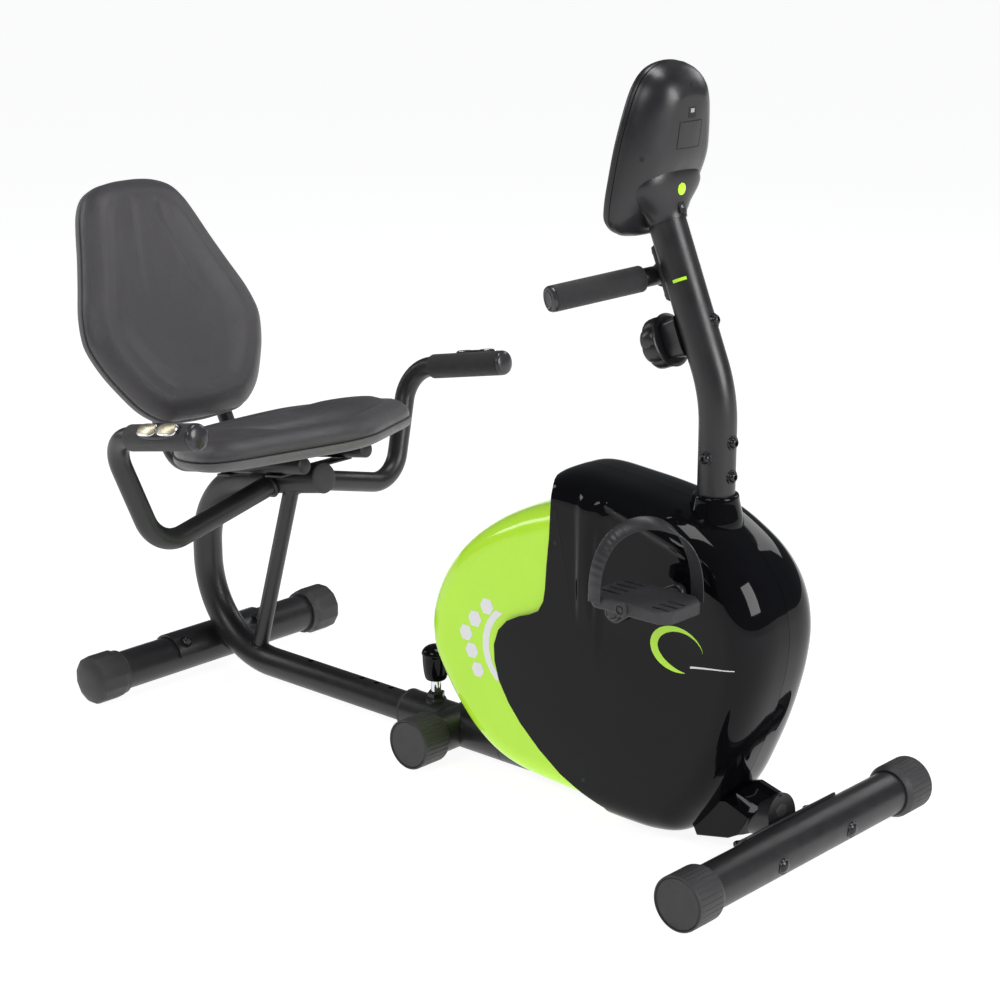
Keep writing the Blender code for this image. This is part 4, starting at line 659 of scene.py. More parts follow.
def build_stabilisers():
    place(stabiliser("front_stabilizer_tube", FRONT_X, FRONT_HALF), "base", "powder_black",
          nodes=("front_stabilizer",))
    place(stabiliser("rear_stabilizer_tube", REAR_X, REAR_HALF), "seat_carriage", "powder_black",
          nodes=("rear_stabilizer",))
    front_angle = math.radians(-6.0)
    rear_angle = math.radians(45.0)
    for side, sign in SIDES:
        cap = ribbed_cap(f"front_cap_{side}", sign, FRONT_X, FRONT_HALF)
        place(cap, f"front_roller_{side}", "matte_black", nodes=(f"front_roller_{side}",))
        cap = ribbed_cap(f"middle_cap_{side}", sign, FRONT_X + MIDDLE_U, 0.109)
        place(cap, "base", "matte_black", nodes=(f"mid_cap_{side}",))
        place(faceted_cap(f"levelling_cap_{side}", sign), f"rear_cap_{side}", "matte_black",
              nodes=(f"rear_cap_{side}",))
        y = sign * 0.0768
        head = dome_bolt(f"front_head_{side}", FRONT_X, y, front_angle, 0.03)
        place(head, "base", "matte_black", "bolt_black", nodes=(f"front_bolt_{side}",))
        nut = cap_nut(f"front_nut_{side}", FRONT_X, y, math.pi + front_angle, 0.0385)
        place(nut, "base", "matte_black", "bolt_black")
        nut = cap_nut(f"rear_nut_{side}", REAR_X, y, rear_angle, 0.0345)
        place(nut, "seat_carriage", "matte_black", "bolt_black", nodes=(f"rear_bolt_{side}",))


# ---------------------------------------------------------------- frames


def seat_tube_height(u):
    return 0.36 - (-0.885 - u) * SEAT_TUBE_SLOPE


def build_frames():
    front = []
    sleeve = [(0.03, 0.0), (0.03, 0.2), (0.0272, 0.2), (0.0272, 0.0)]
    front.append(lathe("sleeve", sleeve, P(MOUTH_U, 0.0, SLEEVE_Z), (1.0, 0.0, 0.0), 64))
    path = rounded_path([P(MOUTH_U + 0.198, 0.0, SLEEVE_Z), P(BEND_U, 0.0, SLEEVE_Z), P(-0.03, 0.0, 0.0615)],
                        [0.3], 12)
    front.append(sweep("neck", path, 0.03, 64))
    front.append(sweep("cross", [P(MIDDLE_U, -0.101, AXIS_Z), P(MIDDLE_U, 0.101, AXIS_Z)], 0.03, 64))
    bead = [(0.0, 0.0686), (0.0142, 0.068), (0.0165, 0.064), (0.0165, 0.058), (0.0, 0.058)]
    front.append(upright("pin_weld", bead, PIN_U, 40))
    boss = [(0.005, 0.069), (0.0112, 0.069), (0.0118, 0.0682), (0.0118, 0.06), (0.005, 0.06)]
    front.append(upright("pin_boss", boss, PIN_U, 40))
    front.append(curved_plate("front_saddle", FRONT_X, math.radians(116.0), math.radians(214.0), 0.099))
    front.append(sweep("stem", [P(POST_BASE_U, 0, 0.06), P(POST_BASE_U, 0, 0.56)], 0.0222, 32))
    place(merged("front_frame", front), "base", "powder_black", nodes=("main_frame",))
    build_shroud()

    liner = [(0.0305, 0.004), (0.0305, 0.0012), (0.03, 0.0002), (0.0268, 0.0002), (0.0268, -0.04),
             (0.02335, -0.04), (0.02335, 0.0036), (0.0245, 0.0046), (0.0295, 0.0046)]
    obj = lathe("mouth_liner", liner, P(MOUTH_U, 0.0, SLEEVE_Z), (-1.0, 0.0, 0.0), 64)
    place(obj, "base", "matte_black", nodes=("sleeve_liner",))

    rear = []
    corner_z = seat_tube_height(-1.1555)
    path = rounded_path([P(-0.5, 0, SLEEVE_Z), P(-1.1555, 0, SLEEVE_Z), P(-1.1555, 0, corner_z),
                         SEAT_TUBE_TOP], [0.147, 0.126], 28)
    tube = sweep("slide", path, SLIDE_R, 56, 0.0008)
    top = SLEEVE_Z + SLIDE_R
    hole_places = [PIN_U - 0.031 * i for i in range(-2, 6)] + [-0.921]
    drills = merged("drills", [lathe("d", [(0.0, 0.003), (0.0048, 0.003), (0.0048, -0.008), (0.0, -0.008)],
                                     P(u, 0.0, top), (0, 0, 1), 24) for u in hole_places])
    tube = cut(tube, drills)
    rear.append(tube)
    rear.append(sweep("strut", [P(-1.041, 0.0, 0.046), P(-0.951, 0.0, 0.345)], 0.0124, 36))
    rear.append(curved_plate("rear_saddle", REAR_X, math.radians(6.0), math.radians(140.0), 0.094))
    gusset = [(REAR_X + 0.014, 0.069), (REAR_X + 0.035, 0.044), (REAR_X + 0.076, 0.032),
              (REAR_X + 0.07, 0.077), (REAR_X + 0.03, 0.096)]
    rear.append(slab("gusset", gusset, 0.026, side_matrix(0.0), 0.002))
    for u, half in ((-0.918, 0.018), (-1.03, 0.015)):
        tilt = math.radians(9.5)
        rail_z = 0.397 - (-0.856 - u) * math.tan(tilt)
        matrix = Matrix.Translation(P(u, 0.0, rail_z)) @ Matrix.Rotation(-tilt, 4, "Y")
        rear.append(box("bridge", (-half, -0.074, -0.0168), (half, 0.074, -0.0128), 0.0012, matrix))
    for end, way in ((P(-1.0395, 0.0, 0.0575), (-0.29, 0, -1)), (P(-0.953, 0.0, 0.332), (0.29, 0, 1))):
        bead = [(0.0, 0.004), (0.014, 0.0036), (0.016, 0.0), (0.015, -0.004), (0.0, -0.004)]
        rear.append(lathe("weld", bead, end, way, 32))
    place(merged("seat_carriage_frame", rear), "seat_carriage", "powder_black", nodes=("seat_frame",))

    cap = [(0.0, 0.0062), (0.008, 0.006), (0.018, 0.0048), (0.0225, 0.0028), (0.0236, 0.0006),
           (0.0, 0.0004)]
    obj = lathe("seat_tube_end", cap, SEAT_TUBE_TOP, (1.0, 0.0, SEAT_TUBE_SLOPE), 48)
    place(obj, "seat_carriage", "matte_black", "cap_face", nodes=("seat_tube_plug",))


def build_shroud():
    """The glossy cover over the neck's front end, with bevelled shoulders."""
    half = ((0.0355, ((-0.058, 0.06), (-0.0755, 0.0325), (-0.0912, 0.0235), (-0.1418, 0.0125),
                      (-0.165, 0.058), (-0.095, 0.0735))), (0.034,
                                                            ((-0.0566, 0.0627), (-0.0748, 0.0318),
                                                             (-0.0908, 0.0227), (-0.1418, 0.0117),
                                                             (-0.165, 0.06), (-0.0942, 0.0758))),
            (0.027, ((-0.0489, 0.072), (-0.072, 0.0308), (-0.0908, 0.0222), (-0.1418, 0.0112),
                     (-0.165, 0.064), (-0.0848, 0.0856))), (0.0235,
                                                            ((-0.046, 0.0752), (-0.0712, 0.0304),
                                                             (-0.0907, 0.022), (-0.1418, 0.0111),
                                                             (-0.165, 0.066), (-0.0812, 0.089))),
            (0.012, ((-0.0345, 0.0868), (-0.069, 0.0294), (-0.0904, 0.0216), (-0.1418, 0.0108),
                     (-0.165, 0.069), (-0.0715, 0.097))), (0.0, ((-0.032, 0.0896), (-0.068, 0.029),
                                                                 (-0.0902, 0.0214), (-0.1418, 0.0106),
                                                                 (-0.165, 0.07), (-0.069, 0.0992))))
    levels = [(-y, ring) for y, ring in half] + [(y, ring) for y, ring in reversed(half[:-1])]
    rings = [[P(u, y, z) for u, z in ring] for y, ring in levels]
    place(round_edges(loft("neck_shroud", rings, 20.0), 0.0012, 2), "base", "gloss_black")
    plug = lathe("neck_plug", [(0.0, 0.0035), (0.012, 0.003), (0.0155, 0.0008), (0.016, -0.012),
                               (0.0, -0.012)], P(-0.0345, 0.0, 0.072), (1.0, 0.0, 0.2), 48)
    place(plug, "base", "matte_black")


# ---------------------------------------------------------------- handles and rails
def build_handles():
    for side, sign in SIDES:
        root = seat_tube_height(-0.98)
        corners = [P(-0.98, sign * 0.01, root - 0.003), P(-0.98, sign * 0.246, 0.284),
                   P(-1.0039, sign * 0.3075, 0.4603), P(-0.7985, sign * 0.3137, 0.4985)]
        path = rounded_path(corners, [0.055, 0.055], 18)
        corner, tip = path[-2], path[-1]
        way = (tip - corner).normalized()
        bar = sweep(f"handle_bar_{side}", path[:-1] + [tip - way * 0.006], 0.016, 48)
        bead = [(0.0, 0.0035), (0.0175, 0.003), (0.0195, 0.0), (0.0185, -0.004), (0.0, -0.004)]
        weld = lathe("weld", bead, P(-0.98, sign * 0.0245, root - 0.0075), (0, sign, -0.33), 32)
        place(merged(f"handle_{side}", [bar, weld]), "seat_carriage", "powder_black",
              nodes=(f"seat_handle_{side}",))

        origin = corner + way * 0.004
        length = (tip - corner).length - 0.006
        r = 0.0195
        profile = [(0.0163, length - 0.004), (r - 0.001, length - 0.004), (r, length - 0.0052), (r, 0.003),
                   (r - 0.0008, 0.001), (r - 0.002, 0.0), (0.0163, 0.0)]
        grip = lathe(f"grip_{side}", profile, origin, way, 64)
        place(grip, "seat_carriage", "grip_foam", nodes=(f"hand_grip_{side}",))
        plug = [(0.0, length + 0.0042), (0.008, length + 0.0039), (0.015, length + 0.0024),
                (0.018, length + 0.0004), (0.0192, length - 0.0022), (0.0192, length - 0.0038),
                (0.0, length - 0.0038)]
        place(lathe(f"grip_end_{side}", plug, origin, way, 56), "seat_carriage", "matte_black", "grip_plug")
        pulse_sensor(side, sign, origin, way, length)

        rail = rounded_path([P(-0.856, sign * 0.064, 0.397), rail_corner(sign), rail_top(sign)], [0.04], 16)
        place(sweep(f"rail_{side}", rail, 0.0125, 40, 0.0015), "seat_carriage", "powder_black",
              nodes=(f"seat_rail_{side}",))


BACK_LEAN = math.radians(27.3)
SEAT_TILT = math.radians(9.5)
BACK_ORIGIN = P(-1.1434, 0.0, 0.4135)
SEAT_ORIGIN = P(-0.868, 0.0, 0.4135)


def rail_foot(sign):
    rearward = Vector((-math.cos(BACK_LEAN), 0.0, -math.sin(BACK_LEAN)))
    return BACK_ORIGIN + rearward * 0.0373 + Y_AXIS * (sign * 0.064)


def rail_corner(sign):
    lean = Vector((-math.sin(BACK_LEAN), 0.0, math.cos(BACK_LEAN)))
    foot = rail_foot(sign)
    slope = math.tan(SEAT_TILT)
    drop = (foot.z - 0.397 + slope * (FRONT_X - 0.856 - foot.x)) / (lean.z - slope * lean.x)
    return foot - lean * drop


def rail_top(sign):
    lean = Vector((-math.sin(BACK_LEAN), 0.0, math.cos(BACK_LEAN)))
    return rail_foot(sign) + lean * 0.25


def pulse_sensor(side, sign, origin, way, length):
    """Two rounded contact plates with bright rims on a black saddle over the grip."""
    upright = Vector((-way.z, 0.0, way.x)).normalized()
    lean = math.radians(50.0)
    lift = (upright * math.cos(lean) + upright.cross(way) * (math.sin(lean) * sign)).normalized()
    if (lift.y > 0.0) != (sign > 0.0):
        lift = (upright * math.cos(lean) - upright.cross(way) * (math.sin(lean) * sign)).normalized()
    across = lift.cross(way)
    start = length - 0.122
    saddle_rings, plates, rims = [], [], []
    reach = 0.11
    for k in range(25):
        t = k / 24.0
        s = start + reach * t
        spread = max(0.0, math.sin(math.pi * t)) ** 0.45
        ring = []
        for turn in turns(24):
            ring.append(origin + way * s + across * (0.0135 * spread * math.cos(turn)) + lift
                        * (0.0175 + 0.005 * spread * math.sin(turn)))
        saddle_rings.append(ring)
    saddle = loft(f"sensor_saddle_{side}", saddle_rings)
    place(saddle, "seat_carriage", "sensor_metal", "satin_black")
    for low, high in ((start + 0.012, start + 0.052), (start + 0.058, start + 0.098)):
        for group, grow, top in ((rims, 0.0016, 0.023), (plates, 0.0, 0.0238)):
            outline = []
            for turn in turns(40):
                half = (high - low) / 2.0 + grow
                x = (low + high) / 2.0 + half * math.copysign(abs(math.cos(turn)) ** 0.6, math.cos(turn))
                y = (0.0085 + grow) * math.copysign(abs(math.sin(turn)) ** 0.7, math.sin(turn))
                outline.append((x, y))
            matrix = axes_matrix(origin + lift * (top - 0.0015), way, across, lift)
            group.append(slab("plate", outline, 0.003, matrix, 0.0006, 2))
    place(merged(f"sensor_rims_{side}", rims), "seat_carriage", "sensor_metal", "sensor_rim")
    place(merged(f"sensor_plates_{side}", plates), "seat_carriage", "sensor_metal",
          nodes=(f"pulse_sensor_{side}",))


# ---------------------------------------------------------------- seat and backrest
BACK_HALF = [(0.0, -0.001), (0.045, 0.001), (0.075, 0.004), (0.098, 0.016), (0.12, 0.036), (0.141, 0.068),
             (0.158, 0.1), (0.17, 0.135), (0.1715, 0.16), (0.163, 0.198), (0.145, 0.243), (0.128, 0.287),
             (0.113, 0.33), (0.101, 0.358), (0.084, 0.38), (0.058, 0.393), (0.03, 0.398), (0.0, 0.399),]
SEAT_HALF = [(0.0, 0.074), (0.03, 0.07), (0.062, 0.056), (0.105, 0.034), (0.15, 0.012), (0.182, -0.007),
             (0.199, -0.028), (0.2035, -0.054), (0.198, -0.09), (0.183, -0.132), (0.16, -0.172),
             (0.132, -0.206), (0.102, -0.226), (0.06, -0.234), (0.0, -0.236),]


PAD_RINGS = 26


def full_outline(half, count):
    other = [(-across, along) for across, along in reversed(half[1:-1])]
    return smooth_closed(half + other, count)


def pad_matrix(origin, along, normal):
    return axes_matrix(origin, Y_AXIS, along, normal)


def stacked(matrix, outline, levels):
    """Rings of an outline, moved in and up by the given pairs."""
    return [[matrix @ Vector((x, y, height)) for x, y in inset(outline, inwards)] for inwards,
            height in levels]


def pad(name, outline, centre, matrix, wall, top):
    """A moulded pad: a side wall given as (inset, height) levels, then a sculpted top."""
    levels = stacked(matrix, outline, wall)
    edge = inset(outline, wall[-1][0])
    base = wall[-1][1]
    for k in range(1, PAD_RINGS):
        share = 1.0 - k / PAD_RINGS
        ring = []
        for x, y in edge:
            px = centre[0] + (x - centre[0]) * share
            py = centre[1] + (y - centre[1]) * share
            ring.append(matrix @ Vector((px, py, base + top(px, py, share))))
        levels.append(ring)
    return loft(name, levels, 60.0)


def build_pads():
    """Two moulded pads, each in a thin shell: the tops are sculpted by the functions inside."""
    along = Vector((-math.sin(BACK_LEAN), 0.0, math.cos(BACK_LEAN)))
    normal = Vector((math.cos(BACK_LEAN), 0.0, math.sin(BACK_LEAN)))
    matrix = pad_matrix(BACK_ORIGIN - normal * 0.01, along, normal)
    outline = full_outline(BACK_HALF, 180)
    shell = [(0.02, -0.0145), (0.01, -0.0142), (0.004, -0.012), (0.0008, -0.0085), (0.0, -0.006),
             (0.0, -0.0016), (0.0006, -0.0004), (0.002, 0.0)]
    place(loft("backrest_shell", stacked(matrix, outline, shell)), "seat_carriage", "shell_grey",
          nodes=("back_shell",))

    def back_top(x, y, share):
        deep = 1.0 - share
        ridge = bell(deep, 0.07, 0.07)
        panel = step(0.1, 0.34, deep)
        bowl = math.exp(-((x / 0.095) ** 2) - (((y - 0.135) / 0.085) ** 2))
        half = 0.052 - 0.026 * step(0.2, 0.35, y)
        reach = step(0.185, 0.225, y) * (1.0 - step(0.345, 0.372, y))
        crease = bell(abs(x), half, 0.007) * reach
        bib = step(half + 0.003, half - 0.006, abs(x)) * reach
        return 0.003 * ridge - 0.0052 * panel - 0.0095 * bowl - 0.002 * crease + 0.0022 * bib

    wall = [(0.005, GAP), (0.0032, 0.002), (0.002, 0.0055), (0.0024, 0.011), (0.006, 0.018),
            (0.0125, 0.0255), (0.0195, 0.0312), (0.0255, 0.0346), (0.0305, 0.0362), (0.035, 0.0366)]
    obj = pad("backrest_pad", outline, (0.0, 0.175), matrix, wall, back_top)
    place(obj, "seat_carriage", "pad_foam", nodes=("back_pad",))

    along = Vector((math.cos(SEAT_TILT), 0.0, math.sin(SEAT_TILT)))
    normal = Vector((-math.sin(SEAT_TILT), 0.0, math.cos(SEAT_TILT)))
    matrix = pad_matrix(SEAT_ORIGIN + normal * 0.0105, along, normal)
    outline = full_outline(SEAT_HALF, 180)
    place(loft("seat_shell_rim", stacked(matrix, outline, shell)), "seat_carriage", "shell_grey",
          nodes=("seat_shell",))

    def seat_top(x, y, share):
        rim = step(0.0, 0.2, 1.0 - share)
        wing = step(0.07, 0.14, abs(x)) * step(-0.23, -0.13, y) * (1.0 - 0.6 * step(-0.06, 0.02, y))
        dish = math.exp(-((x / 0.09) ** 2) - (((y + 0.12) / 0.085) ** 2))
        front_roll = step(-0.04, 0.06, y)
        return 0.0008 * rim + 0.0095 * wing * rim - 0.0095 * dish - 0.0085 * front_roll

    wall = [(0.0045, GAP), (0.003, 0.0018), (0.0022, 0.006), (0.003, 0.0112), (0.0062, 0.0172),
            (0.0115, 0.0228), (0.018, 0.0272), (0.025, 0.03), (0.032, 0.0314)]
    obj = pad("seat_cushion", outline, (0.0, -0.085), matrix, wall, seat_top)
    place(obj, "seat_carriage", "pad_foam", nodes=("seat_pad",))


# ---------------------------------------------------------------- pull pin
def build_pin():
    knob = [(0.0, 0.15), (0.006, 0.1496), (0.012, 0.148), (0.017, 0.1448), (0.0198, 0.1415),
            (0.0212, 0.138), (0.0212, 0.136), (0.0204, 0.1345), (0.0202, 0.133), (0.0196, 0.12),
            (0.0182, 0.108), (0.0166, 0.1), (0.015, 0.0972), (0.0128, 0.0962), (0.0, 0.0962)]
    obj = upright("pin_knob", knob, PIN_U, 72, 50.0)
    place(obj, "pin", "gloss_black", nodes=("pull_pin",))
    stem = [(0.0, 0.0965), (0.0076, 0.0965), (0.008, 0.0955), (0.008, 0.0715), (0.0074, 0.0703),
            (0.0041, 0.0697), (0.0041, 0.0605), (0.0, 0.0601)]
    place(upright("pin_stem", stem, PIN_U, 40), "pin", "zinc", "chrome")
    nut = [(0.0088, 0.0772), (0.012, 0.0772), (0.0132, 0.0762), (0.0132, 0.0694), (0.0088, 0.0686)]
    nut = upright("pin_nut", nut, PIN_U, 6, 20.0)
    place(round_edges(nut, 0.0006, 2), "base", "matte_black", "bolt_black")


# ---------------------------------------------------------------- post, bar, knob
POST_TILT = math.radians(22.6)
POST_WAY = Vector((-math.sin(POST_TILT), 0.0, math.cos(POST_TILT)))
POST_FACE = Vector((-math.cos(POST_TILT), 0.0, -math.sin(POST_TILT)))
POST_CORNER = P(POST_BASE_U, 0.0, 0.6055)
POST_R = 0.0248
BAR_DISTANCE = 0.171
KNOB_DISTANCE = 0.0865
KNOB_LIFT = 0.022


def post_point(distance):
    return POST_CORNER + POST_WAY * distance


def hex_screw(name, spot, way):
    """A button-head screw with a hexagonal socket, on a washer."""
    way = Vector(way).normalized()
    washer = [(0.0, 0.0012), (0.0094, 0.001), (0.01, -0.0022), (0.0, -0.0022)]
    head = [(0.003, 0.002), (0.0032, 0.0052), (0.0044, 0.0054), (0.006, 0.0044), (0.007, 0.0026),
            (0.0072, 0.001), (0.003, 0.001)]
    socket = [(0.0, 0.0026), (0.0034, 0.0026), (0.0034, 0.0008), (0.0, 0.0008)]
    return merged(name, [lathe("w", washer, spot, way, 32), lathe("h", head, spot, way, 32),
                         lathe("s", socket, spot, way, 6)])


def build_post():
    path = rounded_path([P(POST_BASE_U, 0.0, 0.4565), POST_CORNER, post_point(0.243)], [0.2], 22)
    place(sweep("post_tube", path, POST_R, 64), "base", "powder_black", nodes=("console_post",))
    for name, z, angle in (("post_screw_front_low", 0.502, 0.0), ("post_screw_front_high", 0.547, 0.0),
                           ("post_screw_side", 0.527, 90.0)):
        way = Vector((math.cos(math.radians(angle)), -math.sin(math.radians(angle)), 0.0))
        obj = hex_screw(name + "_head", P(POST_BASE_U, 0.0, z) + way * POST_R, way)
        place(obj, "base", "matte_black", "bolt_black", nodes=(name,))
    way = (-POST_FACE * 0.968 + Y_AXIS * 0.25).normalized()
    obj = hex_screw("post_screw_upper", post_point(0.093) + way * POST_R, way)
    place(obj, "base", "matte_black", "bolt_black")
    collar = [(0.0252, 0.4762), (0.0286, 0.4762), (0.0296, 0.4754), (0.0303, 0.4736), (0.0306, 0.47),
              (0.0314, 0.466), (0.0336, 0.456), (0.0358, 0.448), (0.037, 0.442), (0.0374, 0.433),
              (0.0344, 0.433), (0.0292, 0.464), (0.0252, 0.464)]
    place(upright("post_collar_ring", collar, POST_BASE_U, 72, 40.0), "base", "gloss_black",
          nodes=("post_collar",))
    stripe(0.154)


def stripe(distance):
    """A short printed bar across the post's outer face."""
    middle = post_point(distance)
    facing = (-POST_FACE * 0.42 - Y_AXIS * 0.91).normalized()
    around = POST_WAY.cross(facing).normalized()
    verts = []
    count = 14
    for level in (-0.002, 0.002):
        for k in range(count + 1):
            turn = -0.38 + 0.76 * k / count
            out = facing * math.cos(turn) + around * math.sin(turn)
            verts.append(middle + POST_WAY * level + out * (POST_R + 0.00025))
    obj = mesh_object("post_stripe", verts, grid_faces(2, count + 1, False))
    thicken(obj, 0.0004)
    place(obj, "base", "gloss_green", "green_print")


def thicken(obj, thickness, offset=-1.0):
    modifier = obj.modifiers.new("wall", "SOLIDIFY")
    modifier.thickness = thickness
    modifier.offset = offset
    return baked(obj)


def build_knob():
    seat = post_point(KNOB_DISTANCE) + POST_FACE * (POST_R + GAP)
    matrix = Matrix.Translation(seat) @ basis_for(POST_FACE)
    sides = 128
    rings = []
    for radius, height, depth in ((0.03, 0.0, 0.0), (0.0352, 0.0006, 0.0), (0.0358, 0.0014, 0.0),
                                  (0.0352, 0.0024, 0.0), (0.0322, 0.0028, 0.1), (0.033, 0.0042, 0.6),
                                  (0.0346, 0.0066, 1.0), (0.035, 0.013, 1.0), (0.0347, 0.0195, 1.0),
                                  (0.0336, 0.024, 0.9), (0.0312, 0.0275, 0.7), (0.0275, 0.0298, 0.4),
                                  (0.0232, 0.0306, 0.1), (0.0222, 0.0296, 0.0), (0.015, 0.029, 0.0),
                                  (0.006, 0.0288, 0.0)):
        ring = []
        for angle in turns(sides):
            wave = abs(math.sin(4.0 * angle)) ** 0.7
            r = radius - 0.003 * depth * (1.0 - wave)
            ring.append(matrix @ Vector((r * math.cos(angle), r * math.sin(angle),
                                         KNOB_LIFT + GAP + height)))
        rings.append(ring)
    place(loft("brake_knob", rings, 50.0), "knob", "gloss_black", "satin_black", nodes=("tension_knob",))
    rings = []
    for share, height in ((1.06, -0.006), (1.02, 0.001), (0.95, 0.015), (0.92, 0.0205), (0.88, 0.0218)):
        ring = []
        for angle in turns(48):
            r = 0.0265 / max(abs(math.cos(angle)) ** 5 + abs(math.sin(angle)) ** 5, 1e-6) ** (1.0 / 5.0)
            ring.append(matrix @ Vector((r * share * math.cos(angle), 0.8 * r * share * math.sin(angle),
                                         height)))
        rings.append(ring)
    place(loft("brake_dial", rings, 30.0), "base", "satin_black", nodes=("tension_dial",))


def build_bar():
    middle = post_point(BAR_DISTANCE) + POST_FACE * (POST_R + 0.0125 + 0.001)
    ends = {sign: middle + Vector((-0.0582, sign * 0.138, -0.0187)) for _, sign in SIDES}
    path = rounded_path([ends[-1.0], middle, ends[1.0]], [0.05], 16)
    bar = sweep("bar", path, 0.0125, 40)
    tab_matrix = axes_matrix(post_point(BAR_DISTANCE), POST_WAY, Y_AXIS, POST_FACE)
    tab = box("tab", (-0.036, -0.0125, 0.02), (0.036, 0.0125, POST_R + 0.0045), 0.003, tab_matrix)
    screws = []
    for along in (-0.0285, 0.0285):
        spot = tab_matrix @ Vector((along, 0.0, POST_R + 0.0045))
        screws.append(hex_screw("s", spot, POST_FACE))
    place(merged("upper_bar", [bar, tab]), "base", "powder_black", nodes=("console_bar",))
    place(merged("upper_bar_screws", screws), "base", "matte_black", "bolt_black")
    for side, sign in SIDES:
        tip = ends[sign]
        way = (tip - middle).normalized()
        start = middle + way * 0.024
        length = (tip - start).length + 0.006
        r = 0.0172
        profile = [(0.0128, length - 0.004), (r - 0.0008, length - 0.004), (r, length - 0.005), (r, 0.003),
                   (r - 0.001, 0.0008), (r - 0.0025, 0.0), (0.0128, 0.0)]
        place(lathe(f"upper_grip_{side}", profile, start, way, 56), "base", "grip_foam",
              nodes=(f"console_grip_{side}",))
        plug = [(0.0, length + 0.0022), (0.01, length + 0.002), (0.0112, length + 0.0008),
                (0.0128, length + 0.0022), (0.0156, length + 0.0014), (0.017, length - 0.001),
                (0.0172, length - 0.0036), (0.0, length - 0.0036)]
        place(lathe(f"upper_grip_end_{side}", plug, start, way, 56), "base", "matte_black", "grip_plug")


# ---------------------------------------------------------------- console
CONSOLE_TILT = math.radians(9.5)
BUTTON_V = -0.135
CONSOLE_HALF = [(0.0, 0.0), (0.026, -0.003), (0.046, -0.013), (0.06, -0.032), (0.069, -0.062),
                (0.0765, -0.105), (0.0795, -0.148), (0.08, -0.18), (0.075, -0.203), (0.056, -0.2185),
                (0.028, -0.224), (0.0, -0.225),]


def console_matrix():
    along = Vector((math.sin(CONSOLE_TILT), 0.0, math.cos(CONSOLE_TILT)))
    normal = Vector((-math.cos(CONSOLE_TILT), 0.0, math.sin(CONSOLE_TILT)))
    return pad_matrix(P(-0.2475, 0.0, 1.0225), along, -normal)


def build_console():
    matrix = console_matrix()
    outline = full_outline(CONSOLE_HALF, 160)
    rings = []
    levels = [(0.0014, 0.0086), (0.0002, 0.0092), (-0.0004, 0.01), (0.0002, 0.0112), (0.0004, 0.015),
              (0.0014, 0.0205), (0.0036, 0.0265), (0.0068, 0.0325), (0.0112, 0.0385), (0.017, 0.0438),
              (0.0245, 0.0486), (0.032, 0.052)]
    for inwards, depth in levels:
        rings.append([matrix @ Vector((x, y, shaped_depth(y, depth))) for x, y in inset(outline, inwards)])
    edge = inset(outline, levels[-1][0])
    centre = (0.0, -0.1)
    for k in range(1, 22):
        share = 1.0 - k / 22.0
        ring = []
        for x, y in edge:
            px, py = centre[0] + (x - centre[0]) * share, centre[1] + (y - centre[1]) * share
            crown = 0.0048 * (1.0 - share * share)
            ring.append(matrix @ Vector((px, py, shaped_depth(py, levels[-1][1] + crown))))
        rings.append(ring)
    shell = loft("console_shell", rings, 50.0)
    place(shell, "base", "satin_black", nodes=("console_back",))
    build_neck()

    face_levels = [(0.0018, 0.0084), (0.0006, 0.0078), (0.0, 0.0066), (0.0002, 0.001), (0.002, -0.0022),
                   (0.005, -0.0036), (0.01, -0.0042), (0.013, -0.004), (0.0145, -0.003)]
    front = loft("console_front", stacked(matrix, outline, face_levels), 30.0)
    cut(front, sweep("hole", [matrix @ Vector((0.0, BUTTON_V, d)) for d in (-0.001, -0.01)], 0.0078, 40),
        angle=30.0)
    place(front, "base", "satin_black", nodes=("console_face",))
    build_display(matrix)
    build_console_details(matrix)


def shaped_depth(y, depth):
    """The back thins towards its foot."""
    swell = 1.0 - 0.62 * step(0.1, 0.205, -y)
    return 0.0112 + (depth - 0.0112) * swell if depth > 0.0112 else depth


def build_neck():
    """The flared fairing that joins the console to the post, arched at its top."""
    start = post_point(0.23)
    rings = []
    levels = 30
    for k in range(-1, levels + 1):
        along = 0.078 * max(k, 0) / levels
        flare = step(0.0, 0.046, along)
        side = 0.0268 + 0.038 * flare - 0.05 * step(0.052, 0.078, along)
        front = 0.0268 + 0.0185 * step(0.0, 0.06, along) - 0.03 * step(0.06, 0.078, along)
        back = 0.0268 * (1.0 - 0.9 * step(0.0, 0.04, along))
        trim = 0.0014 if k < 0 else 0.0
        ring = []
        for angle in turns(72):
            c, d = math.cos(angle), math.sin(angle)
            power = 1.0 - 0.25 * flare
            reach = (front if c > 0.0 else back) - trim
            out = -POST_FACE * (reach * math.copysign(abs(c) ** power, c))
            out += Y_AXIS * ((side - trim) * math.copysign(abs(d) ** power, d))
            ring.append(start + POST_WAY * along + out)
        rings.append(ring)
    neck = loft("console_neck", rings, 50.0)
    place(neck, "base", "satin_black")
    spot, badge_way = neck_spot(neck, start + POST_WAY * 0.033)
    badge = lathe("round_badge", [(0.0, 0.0016), (0.006, 0.0014), (0.0078, 0.0006), (0.008, -0.003),
                                  (0.0, -0.003)], spot, badge_way, 40)
    place(badge, "base", "gloss_green", "green_print")
    socket_spot, _ = neck_spot(neck, start + POST_WAY * 0.013)
    socket = axes_matrix(socket_spot, Y_AXIS, POST_WAY, -POST_FACE)
    # The socket's opening is a near-black box of painted shade on the fairing.
    place(box("lead_socket", (-0.0055, -0.0085, -0.004), (0.0055, 0.0085, 0.0018), 0.0008, socket), "base",
          "satin_black", "painted_recess_shade")
    place(box("socket_tongue", (-0.0022, -0.003, 0.0), (0.0022, 0.0012, 0.0024), 0.0004, socket), "base",
          "zinc", "zinc")


